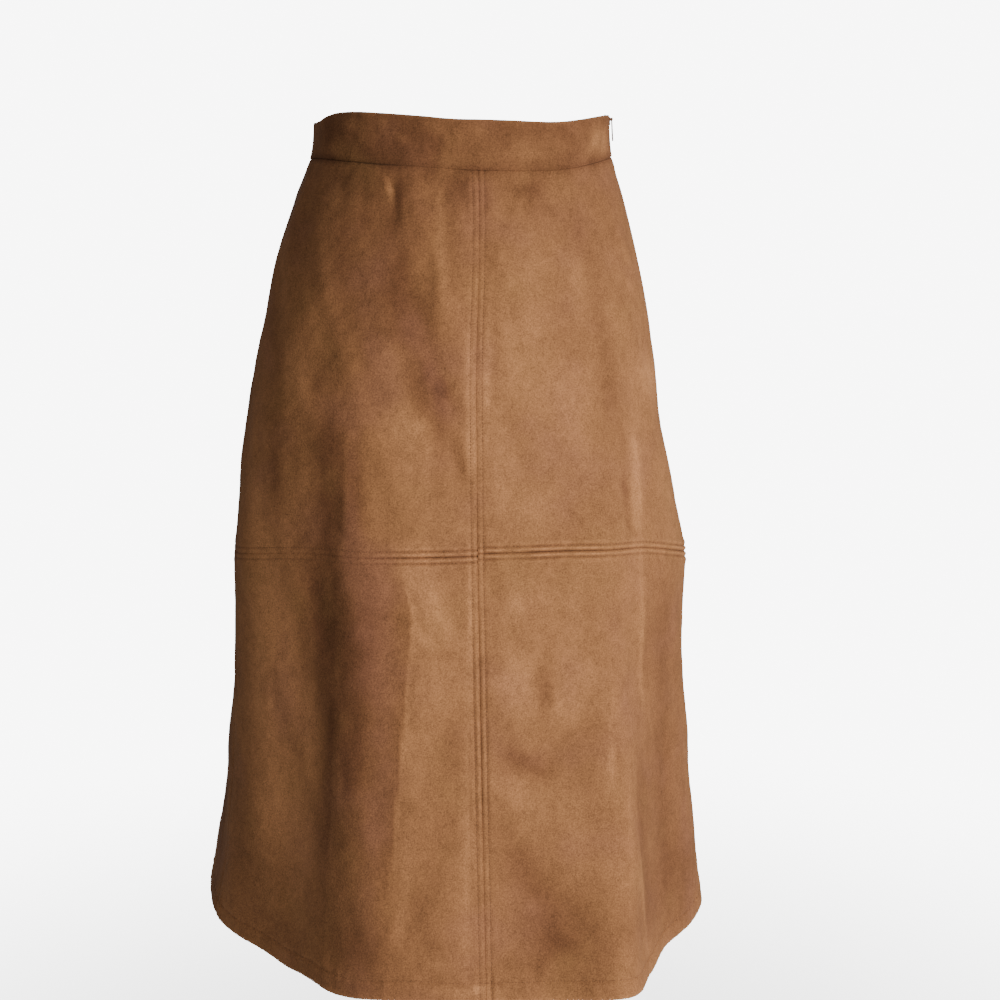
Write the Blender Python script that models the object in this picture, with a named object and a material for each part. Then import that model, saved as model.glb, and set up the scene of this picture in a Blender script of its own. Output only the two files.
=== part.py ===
"""A-line midi skirt in faux suede, in the hollow shape it has when worn.

Each cut piece is its own closed solid: a two-part waistband, four front panels that
meet in a centre seam and a seam across the middle, two back panels, and a concealed
zip in the side seam at the wearer's left. Units are metres, +Z is up, the front
faces -Y and the wearer's left is +X. The origin is the middle of the waist opening,
at half the height of the waistband.
"""

import math

import bmesh
import bpy
import numpy as np
from mathutils import Matrix, Vector

# ------------------------------------------------------------------ driving sizes

BAND_HEIGHT = 0.042
MID_SEAM = 0.432
LENGTH = 0.792
CLOTH = 0.0015
BAND_CLOTH = 0.0025
HEM_TURN_UP = 0.027
HEM_CLOTH = 0.0032
HEM_STEP = 0.001
SEAM_GAP = 0.0003
SQUARENESS = 2.2
SIDE_SEAM = 84.0
SIDE_LINE = 95.0

ZIP_LENGTH = 0.200
ZIP_GAP = 0.0014
TAPE_WIDTH = 0.011
TAPE_THICK = 0.001
TAPE_CLEAR = 0.0005
COIL_WIDTH = 0.004
COIL_THICK = 0.0016
ZIP_CLEAR = 0.0005
TAPE_TOP = 0.002
TAPE_TAIL = 0.006

TOP = BAND_HEIGHT / 2

# Sections across the skirt. drop: distance below the top edge, taken at the sides.
# left, right: half widths towards -X and +X. front, back: half depths.
# lift: how much the front stands above the sides. level_to: the angle from the
# front, in degrees, up to which it keeps that lift. tilt: rise towards +X.
SECTIONS = (
    # drop   left    right   front   back    lift    level_to  tilt
    (0.000, 0.1400, 0.1465, 0.1080, 0.1020, -0.019, 15.0, 0.002),
    (0.042, 0.1440, 0.1500, 0.1110, 0.1070, -0.023, 15.0, 0.002),
    (0.078, 0.1600, 0.1610, 0.1180, 0.1180, -0.020, 15.0, 0.001),
    (0.196, 0.1905, 0.1880, 0.1380, 0.1480, 0.000, 20.0, 0.000),
    (0.316, 0.2130, 0.2030, 0.1480, 0.1600, 0.015, 35.0, 0.000),
    (0.380, 0.2208, 0.2168, 0.1510, 0.1655, 0.019, 42.0, 0.000),
    (0.432, 0.2255, 0.2285, 0.1550, 0.1700, 0.021, 45.0, 0.000),
    (0.526, 0.2270, 0.2265, 0.1680, 0.1800, 0.018, 40.0, 0.000),
    (0.646, 0.2380, 0.2360, 0.1880, 0.1950, 0.004, 30.0, 0.000),
    (0.792, 0.2595, 0.2495, 0.2160, 0.2150, -0.020, 15.0, 0.000),
)

# Folds of the hanging cloth, 0 degrees at the front centre and + towards +X.
# begins: drop where the fold starts. at_mid, at_hem: its height there, + is a
# ridge and - a trough. width: degrees from its crest to where it has mostly gone.
FOLDS = (
    # top_angle hem_angle begins  at_mid   at_hem   width
    (48.0, 29.5, 0.30, 0.006, 0.030, 9.0),
    (64.0, 58.0, 0.34, -0.003, -0.018, 13.0),
    (-40.0, -36.0, 0.28, 0.005, 0.000, 8.0),
    (-56.0, -60.0, 0.30, -0.007, -0.036, 19.0),
    (-118.0, -113.0, 0.34, 0.004, 0.018, 12.0),
    (-140.0, -141.0, 0.36, -0.004, -0.021, 13.0),
    (-171.0, -167.0, 0.30, 0.005, 0.019, 12.0),
    (161.0, 157.0, 0.38, -0.003, -0.016, 11.0),
    (131.0, 127.0, 0.33, 0.005, 0.022, 12.0),
    (108.0, 104.0, 0.40, -0.002, -0.014, 10.0),
)

# The centre seam leans towards +X at the waist and stands straight from this drop.
CENTRE_LEAN = 3.3
CENTRE_STRAIGHT_FROM = 0.28

SUEDE = {"colour": (0.262, 0.122, 0.052), "roughness": 0.92, "metallic": 0.0}
TAPE_CLOTH = {"colour": (0.115, 0.055, 0.028), "roughness": 0.85, "metallic": 0.0}
PAINTED_METAL = {"colour": (0.085, 0.040, 0.020), "roughness": 0.45, "metallic": 0.6}


# ------------------------------------------------------------------ cloth surface

def smooth_step(start, end, value):
    """0 before start, 1 after end, with level tangents at both."""
    t = np.clip((value - start) / (end - start), 0.0, 1.0)
    return t * t * (3.0 - 2.0 * t)


def section_value(column, drop):
    """One column of SECTIONS at any drop, by a smooth curve through its rows."""
    rows = np.array(SECTIONS)
    at, values = rows[:, 0], rows[:, column]
    span = np.diff(at)
    slope = np.diff(values) / span
    tangent = np.empty_like(values)
    tangent[0], tangent[-1] = slope[0], slope[-1]
    tangent[1:-1] = (slope[1:] * span[:-1] + slope[:-1] * span[1:]) / (span[:-1] + span[1:])
    i = np.clip(np.searchsorted(at, drop, side="right") - 1, 0, len(at) - 2)
    h = span[i]
    t = (drop - at[i]) / h
    start = (2 * t**3 - 3 * t**2 + 1) * values[i] + (t**3 - 2 * t**2 + t) * h * tangent[i]
    end = (3 * t**2 - 2 * t**3) * values[i + 1] + (t**3 - t**2) * h * tangent[i + 1]
    return start + end


def fold_height(angle, drop):
    """How far the folds push the cloth out at an angle and a drop."""
    height = np.zeros_like(angle)
    for top_angle, hem_angle, begins, at_mid, at_hem, width in FOLDS:
        way_down = np.clip((drop - begins) / (LENGTH - begins), 0.0, 1.0)
        crest = top_angle + (hem_angle - top_angle) * way_down
        aside = (angle - crest + 180.0) % 360.0 - 180.0
        size = at_mid * smooth_step(begins, MID_SEAM, drop)
        size = size + (at_hem - at_mid) * smooth_step(MID_SEAM, LENGTH, drop)
        height = height + size * np.exp(-(aside / width) ** 2)
    return height


def cloth_point(angle, drop):
    """Point on the outer face of the cloth; angle in degrees from the front."""
    left, right, front, back, lift, level_to, tilt = (section_value(k, drop) for k in range(1, 8))
    sine, cosine = np.sin(np.radians(angle)), np.cos(np.radians(angle))
    half_width = np.where(sine < 0.0, left, right)
    half_depth = np.where(cosine > 0.0, front, back)
    radius = (np.abs(sine / half_width) ** SQUARENESS
              + np.abs(cosine / half_depth) ** SQUARENESS) ** (-1.0 / SQUARENESS)
    radius = radius + fold_height(angle, drop)
    turned = np.abs((angle + 180.0) % 360.0 - 180.0)
    height = TOP - drop + lift * (1.0 - smooth_step(level_to, SIDE_LINE, turned)) + tilt * sine
    return np.stack([radius * sine, -radius * cosine, height], axis=-1)


def cloth_normal(angle, drop):
    """Outward unit normal of the cloth's outer face."""
    step_round, step_down = 0.05, 0.0005
    round_way = cloth_point(angle + step_round, drop) - cloth_point(angle - step_round, drop)
    low = np.clip(drop + step_down, 0.0, LENGTH)
    high = np.clip(drop - step_down, 0.0, LENGTH)
    down_way = cloth_point(angle, low) - cloth_point(angle, high)
    normal = np.cross(down_way, round_way)
    return normal / np.linalg.norm(normal, axis=-1, keepdims=True)


def angle_of(distance, angle, drop):
    """A short distance along the cloth, round the body, as degrees."""
    return np.degrees(distance / np.linalg.norm(cloth_point(angle, drop)[..., :2], axis=-1))


# ------------------------------------------------------------------ seam lines

def centre_seam(drop):
    """Angle of the seam down the front."""
    return CENTRE_LEAN * (1.0 - smooth_step(BAND_HEIGHT, CENTRE_STRAIGHT_FROM, drop))


def right_seam(drop):
    """Angle of the plain side seam at the wearer's right."""
    return np.full_like(drop, -SIDE_SEAM)


def left_seam(drop):
    """Angle of the side seam with the zip, at the wearer's left."""
    return np.full_like(drop, SIDE_SEAM)


def left_seam_from_behind(drop):
    """The same seam as the back panels reach it, one turn lower."""
    return np.full_like(drop, SIDE_SEAM - 360.0)


def half_gap(seam, drop):
    """Half the space between two pieces at a seam: wider along the zip."""
    at_zip = seam in (left_seam, left_seam_from_behind)
    gap = np.where(at_zip & (drop <= ZIP_LENGTH), ZIP_GAP, SEAM_GAP)
    return angle_of(gap / 2, seam(drop), drop)


# ------------------------------------------------------------------ solids

def material(name, look):
    made = bpy.data.materials.new(name)
    made.use_nodes = True
    shader = made.node_tree.nodes["Principled BSDF"]
    shader.inputs["Base Color"].default_value = (*look["colour"], 1.0)
    shader.inputs["Roughness"].default_value = look["roughness"]
    shader.inputs["Metallic"].default_value = look["metallic"]
    made.diffuse_color = (*look["colour"], 1.0)
    return made


def add_object(name, mesh, look, sharp_angle=40.0):
    mesh.materials.append(material(name, look))
    mesh.shade_smooth()
    mesh.set_sharp_from_angle(angle=math.radians(sharp_angle))
    made = bpy.data.objects.new(name, mesh)
    bpy.context.collection.objects.link(made)
    return made


def sheet_solid(name, outer, inner, look):
    """Closed wall between two grids of points with the same rows and columns."""
    rows, columns = outer.shape[:2]
    points = np.concatenate([outer.reshape(-1, 3), inner.reshape(-1, 3)])
    back = rows * columns

    def at(i, j):
        return i * columns + j

    faces = []
    for i in range(rows - 1):
        for j in range(columns - 1):
            corners = (at(i, j), at(i + 1, j), at(i + 1, j + 1), at(i, j + 1))
            faces.append(corners)
            faces.append(tuple(back + c for c in reversed(corners)))
    for j in range(columns - 1):
        for i, step in ((0, 1), (rows - 1, -1)):
            a, b = (at(i, j), at(i, j + 1))[::step]
            faces.append((a, b, back + b, back + a))
    for i in range(rows - 1):
        for j, step in ((0, -1), (columns - 1, 1)):
            a, b = (at(i, j), at(i + 1, j))[::step]
            faces.append((a, b, back + b, back + a))
    mesh = bpy.data.meshes.new(name)
    mesh.from_pydata([tuple(p) for p in points], [], faces)
    mesh.update()
    return add_object(name, mesh, look)


def panel(name, from_seam, to_seam, drops, columns, thickness):
    """A cut piece of cloth between two seam lines, over the given rows of drops."""
    drop = np.array(drops)
    start = from_seam(drop) + half_gap(from_seam, drop)
    end = to_seam(drop) - half_gap(to_seam, drop)
    share = np.linspace(0.0, 1.0, columns)[None, :]
    angle = start[:, None] + (end - start)[:, None] * share
    down = np.repeat(drop[:, None], columns, axis=1)
    outer = cloth_point(angle, down)
    inner = outer - cloth_normal(angle, down) * thickness(down)[..., None]
    return sheet_solid(name, outer, inner, SUEDE)


def band_thickness(drop):
    return np.full_like(drop, BAND_CLOTH)


def skirt_thickness(drop):
    """Single cloth, doubled where the hem is turned up."""
    return np.where(drop > LENGTH - HEM_TURN_UP, HEM_CLOTH, CLOTH)


# Rows of drops for the grids. The upper ones step at the foot of the zip, where the
# side seam closes up.
ZIP_STEP = 0.002
HEM_FOLD = LENGTH - HEM_TURN_UP
BAND_ROWS = (0.0, BAND_HEIGHT / 2, BAND_HEIGHT - SEAM_GAP / 2)
UPPER_ROWS = (*np.linspace(BAND_HEIGHT + SEAM_GAP / 2, ZIP_LENGTH, 5),
              *np.linspace(ZIP_LENGTH + ZIP_STEP, MID_SEAM - SEAM_GAP / 2, 5))
LOWER_ROWS = (*np.linspace(MID_SEAM + SEAM_GAP / 2, HEM_FOLD, 9), HEM_FOLD + HEM_STEP, LENGTH)
FRONT_COLUMNS = 25
BACK_COLUMNS = 43


def waistband():
    panel("waistband_front", right_seam, left_seam, BAND_ROWS, 41, band_thickness)
    panel("waistband_back", left_seam_from_behind, right_seam, BAND_ROWS, 45, band_thickness)


def skirt_panels():
    for half, rows in (("upper", UPPER_ROWS), ("lower", LOWER_ROWS)):
        panel("front_%s_right" % half, right_seam, centre_seam, rows, FRONT_COLUMNS, skirt_thickness)
        panel("front_%s_left" % half, centre_seam, left_seam, rows, FRONT_COLUMNS, skirt_thickness)
        panel("back_%s" % half, left_seam_from_behind, right_seam, rows, BACK_COLUMNS,
              skirt_thickness)


# ------------------------------------------------------------------ concealed zip

SLIDER_DROP = 0.004
SLIDER_LENGTH = 0.009
SLIDER_WIDTH = 0.0062
SLIDER_THICK = 0.0030
NECK_THICK = 0.0008
NECK_INSET = 0.001
SINK = 0.0005
BRIDGE_WIDTH = 0.0044
BRIDGE_LENGTH = 0.0078
BRIDGE_THICK = 0.0010
CHEEK_THICK = 0.0007
CHEEK_REACH = 0.0039
CHEEK_LENGTH = 0.0026
PIN_RADIUS = 0.00045
PIN_OUT = 0.0030
PIN_DOWN = 0.0024
EYE_HOLE = 0.00080
EYE_RADIUS = 0.00130
EYE_WIDTH = 0.0022
TAB_LENGTH = 0.021
TAB_WIDTH = 0.0046
TAB_NECK = 0.0022
TAB_THICK = 0.0011
RUN_CLEAR = 0.0003


def strip(name, from_side, to_side, from_drop, to_drop, face_depth, thick, look):
    """A strip on the inside of the zipped seam, with the rows of the cloth it lies on."""
    between = [d for d in BAND_ROWS + UPPER_ROWS if from_drop < d - HEM_STEP and d + HEM_STEP < to_drop]
    drop = np.array([from_drop, *between, to_drop])
    side = np.linspace(from_side, to_side, 3)
    down = np.repeat(drop[:, None], len(side), axis=1)
    seam = np.full_like(down, SIDE_SEAM)
    angle = seam + np.where(side >= 0, 1.0, -1.0) * angle_of(np.abs(side), seam, down)
    surface, normal = cloth_point(angle, down), cloth_normal(angle, down)
    return sheet_solid(name, surface - normal * face_depth,
                       surface - normal * (face_depth + thick), look)


def zip_strips():
    """Both tapes against the cloth, and the closed coil behind them."""
    tape_depth = BAND_CLOTH + TAPE_CLEAR
    inner, outer = ZIP_GAP / 2, ZIP_GAP / 2 + TAPE_WIDTH
    for name, a, b in (("zip_tape_front", -outer, -inner), ("zip_tape_back", inner, outer)):
        strip(name, a, b, TAPE_TOP, ZIP_LENGTH + TAPE_TAIL, tape_depth, TAPE_THICK, TAPE_CLOTH)
    coil_top = SLIDER_DROP + SLIDER_LENGTH + ZIP_CLEAR
    strip("zip_coil", -COIL_WIDTH / 2, COIL_WIDTH / 2, coil_top, ZIP_LENGTH,
          tape_depth + TAPE_THICK + SEAM_GAP, COIL_THICK, TAPE_CLOTH)


def slider_frame():
    """Matrix whose axes point out of the cloth, round the body and down it."""
    angle, drop = np.array(SIDE_SEAM), np.array(SLIDER_DROP)
    origin = Vector(cloth_point(angle, drop))
    down = (Vector(cloth_point(angle, drop + SLIDER_LENGTH * 3)) - origin).normalized()
    out = Vector(cloth_normal(angle, drop))
    out = (out - down * out.dot(down)).normalized()
    around = down.cross(out)
    frame = Matrix((out, around, down)).transposed().to_4x4()
    frame.translation = origin
    return frame


def box_mesh(low, high):
    """A box from its lowest to its highest corner."""
    bm = bmesh.new()
    bmesh.ops.create_cube(bm, size=1.0)
    size = [b - a for a, b in zip(low, high)]
    middle = [(a + b) / 2 for a, b in zip(low, high)]
    bmesh.ops.scale(bm, vec=size, verts=bm.verts)
    bmesh.ops.translate(bm, vec=middle, verts=bm.verts)
    return bm


def rod_mesh(radius, length, centre, sides=16):
    """A round bar along the axis that runs round the body."""
    bm = bmesh.new()
    turn = Matrix.Rotation(math.pi / 2, 4, "X")
    bmesh.ops.create_cone(bm, cap_ends=True, segments=sides, radius1=radius, radius2=radius,
                          depth=length, matrix=Matrix.Translation(centre) @ turn)
    return bm


def tab_blade():
    """Flat teardrop blade that widens from the eye to a round end."""
    round_end = TAB_LENGTH - TAB_WIDTH / 2
    outline = [(-TAB_NECK / 2, EYE_RADIUS * 0.6), (TAB_NECK / 2, EYE_RADIUS * 0.6)]
    for k in range(13):
        turn = math.pi * k / 12
        outline.append((TAB_WIDTH / 2 * math.cos(turn), round_end + TAB_WIDTH / 2 * math.sin(turn)))
    bm = bmesh.new()
    verts = [bm.verts.new((-TAB_THICK / 2, y, z)) for y, z in outline]
    face = bm.faces.new(verts)
    grown = bmesh.ops.extrude_face_region(bm, geom=[face])
    moved = [v for v in grown["geom"] if isinstance(v, bmesh.types.BMVert)]
    bmesh.ops.translate(bm, vec=(TAB_THICK, 0.0, 0.0), verts=moved)
    bmesh.ops.recalc_face_normals(bm, faces=bm.faces)
    return bm


def helper(name, bm):
    """A hidden object that shapes another one."""
    mesh = bpy.data.meshes.new(name)
    bm.to_mesh(mesh)
    bm.free()
    made = bpy.data.objects.new(name, mesh)
    made.hide_render = True
    made.display_type = "WIRE"
    bpy.context.collection.objects.link(made)
    return made


def shaped(name, base, added, cut, frame, look):
    """One body: the base with each added shape joined and each cut taken out."""
    mesh = bpy.data.meshes.new(name)
    base.to_mesh(mesh)
    base.free()
    made = add_object(name, mesh, look, sharp_angle=35.0)
    made.matrix_world = frame
    steps = [("UNION", bm) for bm in added] + [("DIFFERENCE", bm) for bm in cut]
    for number, (operation, bm) in enumerate(steps):
        guide = helper("%s_guide_%d" % (name, number), bm)
        guide.matrix_world = frame
        modifier = made.modifiers.new(operation.title(), "BOOLEAN")
        modifier.operation = operation
        modifier.object = guide
    return made


def zip_slider(frame):
    """Body behind the coil, a thin neck through the gap, and the bridge outside."""
    coil_face = BAND_CLOTH + TAPE_CLEAR + TAPE_THICK + ZIP_CLEAR
    body = box_mesh((-coil_face - SLIDER_THICK, -SLIDER_WIDTH / 2, 0.0),
                    (-coil_face, SLIDER_WIDTH / 2, SLIDER_LENGTH))
    bridge_low, bridge_high = RUN_CLEAR, RUN_CLEAR + BRIDGE_THICK
    neck = box_mesh((-coil_face - SINK, -NECK_THICK / 2, NECK_INSET),
                    (bridge_low + SINK, NECK_THICK / 2, SLIDER_LENGTH - NECK_INSET))
    bridge = box_mesh((bridge_low, -BRIDGE_WIDTH / 2, 0.0),
                      (bridge_high, BRIDGE_WIDTH / 2, BRIDGE_LENGTH))
    added = [neck, bridge]
    for side in (-1, 1):
        inner = side * (BRIDGE_WIDTH / 2 - CHEEK_THICK)
        outer = side * BRIDGE_WIDTH / 2
        added.append(box_mesh((bridge_high - SINK, min(inner, outer), PIN_DOWN - CHEEK_LENGTH / 2),
                              (CHEEK_REACH, max(inner, outer), PIN_DOWN + CHEEK_LENGTH / 2)))
    added.append(rod_mesh(PIN_RADIUS, BRIDGE_WIDTH - CHEEK_THICK, (PIN_OUT, 0.0, PIN_DOWN)))
    return shaped("zip_slider", body, added, [], frame, PAINTED_METAL)


def zip_pull(frame):
    """The tab: an eye round the slider's pin and a blade that hangs from it."""
    hung = frame @ Matrix.Translation((PIN_OUT, 0.0, PIN_DOWN))
    eye = rod_mesh(EYE_RADIUS, EYE_WIDTH, (0.0, 0.0, 0.0), sides=20)
    hole = rod_mesh(EYE_HOLE, EYE_WIDTH * 2, (0.0, 0.0, 0.0), sides=20)
    return shaped("zip_pull", eye, [tab_blade()], [hole], hung, PAINTED_METAL)


def main():
    for old in list(bpy.data.objects):
        bpy.data.objects.remove(old, do_unlink=True)
    waistband()
    skirt_panels()
    zip_strips()
    frame = slider_frame()
    zip_slider(frame)
    zip_pull(frame)


main()
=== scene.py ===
"""Faux suede skirt: the finish of an A-line midi skirt, laid out as a Blender add-on.

Each cut piece of cloth is a closed shell on the form of its solid, with the seams,
stitching, creases and brushed nap of the real cloth, and painted light and shade of its
folds and seams in the nap's colour. Angles are in degrees from the
front centre and grow towards +X, the wearer's left. A drop is the distance below the
top edge of the waistband, taken at the sides. Everything else is in metres, and the
tables, in millimetres and hundredths, are turned into metres and shares by table().
"""

import math

import bmesh
import bpy
import numpy as np
from mathutils import Matrix, Vector


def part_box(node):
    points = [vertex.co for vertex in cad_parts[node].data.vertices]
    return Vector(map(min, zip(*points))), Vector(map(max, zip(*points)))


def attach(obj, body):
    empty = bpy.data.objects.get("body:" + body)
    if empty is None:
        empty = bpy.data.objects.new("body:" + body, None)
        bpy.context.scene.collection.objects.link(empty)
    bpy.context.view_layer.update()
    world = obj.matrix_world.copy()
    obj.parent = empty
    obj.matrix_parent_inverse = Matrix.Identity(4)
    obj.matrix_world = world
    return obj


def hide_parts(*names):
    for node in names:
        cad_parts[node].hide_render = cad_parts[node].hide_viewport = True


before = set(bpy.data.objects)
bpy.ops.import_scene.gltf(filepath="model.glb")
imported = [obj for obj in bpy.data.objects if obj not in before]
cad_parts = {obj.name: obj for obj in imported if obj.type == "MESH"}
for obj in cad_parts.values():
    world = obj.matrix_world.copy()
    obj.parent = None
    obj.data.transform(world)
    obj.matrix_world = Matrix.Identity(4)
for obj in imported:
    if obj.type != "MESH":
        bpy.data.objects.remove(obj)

bl_info = {
    "name": "Faux Suede Skirt",
    "version": (1, 0, 0),
    "blender": (4, 5, 0),
    "location": "3D View > Sidebar > Skirt",
    "description": "Builds a panelled A-line skirt in faux suede, with its seams, zip and stage",
    "category": "Add Mesh",
}

# What millimetres and hundredths are divided by to give metres and shares.
MM = 1000
PERCENT = 100


def table(rows, *per):
    """Rows of numbers, with each column divided by its own figure."""
    return tuple(tuple(value / figure for value, figure in zip(row, per)) for row in rows)


def in_mm(*values):
    """Distances written in millimetres."""
    return tuple(value / MM for value in values)


# ------------------------------------------------------------------ form of the cloth

BAND_HEIGHT = 0.042
MID_SEAM = 0.432
LENGTH = 0.792
HEM_TURN_UP = 0.027
SQUARENESS = 2.2
SIDE_SEAM = 84.0
SIDE_LINE = 95.0
ZIP_LENGTH = 0.200
TOP = BAND_HEIGHT / 2
MEAN_RADIUS = 0.2
CENTRE_REACH = 60.0

# Sections across the skirt: drop, half width towards -X and +X, half depth to the
# front and back, lift of the front, angle that the lift is level to, rise towards +X.
SECTIONS = table((
    (0, 140, 146.5, 108, 102, -19, 15, 2),
    (42, 144, 150, 111, 107, -23, 15, 2),
    (78, 160, 161, 118, 118, -20, 15, 1),
    (196, 190.5, 188, 138, 148, 0, 20, 0),
    (316, 213, 203, 148, 160, 15, 35, 0),
    (380, 220.8, 216.8, 151, 165.5, 19, 42, 0),
    (432, 225.5, 228.5, 155, 170, 21, 45, 0),
    (526, 227, 226.5, 168, 180, 18, 40, 0),
    (646, 238, 236, 188, 195, 4, 30, 0),
    (792, 259.5, 249.5, 216, 215, -20, 15, 0),
), MM, MM, MM, MM, MM, MM, 1, MM)

# Folds of the hanging cloth: angle at the top and hem, drop where it begins, height
# at the middle seam and at the hem, and degrees from its crest to where it has gone.
FOLDS = table((
    (48, 29.5, 300, 6, 30, 9),
    (64, 58, 340, -3, -18, 13),
    (-40, -36, 280, 5, 0, 8),
    (-56, -60, 300, -7, -36, 19),
    (-118, -113, 340, 4, 18, 12),
    (-140, -141, 360, -4, -21, 13),
    (-171, -167, 300, 5, 19, 12),
    (161, 157, 380, -3, -16, 11),
    (131, 127, 330, 5, 22, 12),
    (108, 104, 400, -2, -14, 10),
), 1, 1, MM, MM, MM, 1)
CENTRE_LEAN = 3.3
CENTRE_STRAIGHT_FROM = 0.28

# How far each line round the skirt runs off level: angle, distance down.
TOP_RUN = table((
    (-100, 7), (-84, 9.5), (-75, 8), (-70, 4.5), (-62, 0), (-50, -2.8), (-26, -4), (-8, -1.5), (20, 0),
    (45, 4.5), (72, 3), (90, 2), (150, 0), (-140, 1),
), 1, MM)
WAIST_RUN = table((
    (-90, 1), (-64, -0.5), (-45, -2.5), (-27, -4.6), (-9, -2.8), (3, -1.2), (16, -0.8), (30, 1),
    (44, 3.5), (62, 2.2), (80, 0), (150, 1), (-150, -1),
), 1, MM)
MID_RUN = table((
    (-90, -5), (-62, -1.8), (-50, 0.8), (-33, 1.8), (-4, 0.6), (-0.3, 0.4), (-0.012, 0.4),
    (0.012, -1.8), (0.3, -1.8), (29, -1.4), (44, 0.2), (50, 0.6), (56, 0.4), (84, 3.2), (130, 1),
    (180, -1), (-130, -3),
), 1, MM)
HEM_RUN = table((
    (-88, -3), (-80, 1), (-71, 4), (-58, 6.5), (-45, 1), (-36, 1.5), (-20, -3), (-2, -0.8), (17, 1.4),
    (28, 0.5), (37, 6), (45, 8), (52, 5), (60, 6), (77, 4), (104, 1.5), (128, -2), (156, 2), (178, -1),
    (-165, -2), (-142, 2), (-112, -2),
), 1, MM)

# How clearly a seam shows: along the middle and the waist by angle, down the front by drop.
MID_SHOW = table((
    (-84, 35), (-62, 16), (-45, 16), (-37, 32), (-30, 70), (-22, 105), (-4, 100), (0, 55), (5, 100),
    (12, 80), (20, 115), (36, 110), (47, 70), (58, 60), (84, 100), (120, 55), (150, 85), (180, 50),
    (-150, 80), (-120, 50),
), 1, PERCENT)
WAIST_SHOW = table((
    (-84, 110), (-62, 130), (-42, 135), (-32, 55), (-22, 12), (-12, 5), (-5, 50), (4, 70), (14, 35),
    (30, 30), (45, 40), (58, 75), (84, 100), (120, 60), (160, 80), (-160, 45), (-120, 80),
), 1, PERCENT)
CENTRE_SHOW = table((
    (42, 45), (80, 85), (105, 45), (190, 55), (250, 45), (380, 40), (440, 95), (470, 60), (500, 85),
    (580, 110), (635, 105), (670, 55), (740, 50), (800, 45),
), MM, PERCENT)

# Soft swells and hollows: angle, drop, half width in degrees, half height, push out.
SWELLS = table((
    (-92, 0, 13, 22, -3.6), (94, 352, 15, 55, 4.2), (96, 245, 14, 50, -2.2), (92, 470, 12, 40, -1.8),
    (-90, 715, 13, 60, -3.4), (-90, 85, 14, 30, -3), (-22, 300, 16, 70, 1.6), (-13, 480, 9, 50, 3),
    (-6, 620, 8, 60, -2.2), (12, 560, 12, 50, 1.2), (13, 640, 10, 30, -1.6), (30, 180, 16, 90, 1.2),
    (40, 120, 10, 60, -1), (-50, 140, 16, 60, 1.2), (150, 300, 20, 80, 3), (-150, 220, 18, 70, 2.4),
    (180, 150, 22, 60, 1.8), (-128, 420, 14, 80, -2.2), (172, 520, 14, 70, -2.4),
    (120, 560, 12, 80, 2), (-106, 600, 12, 80, 2),
), 1, MM, 1, MM, MM)

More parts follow.
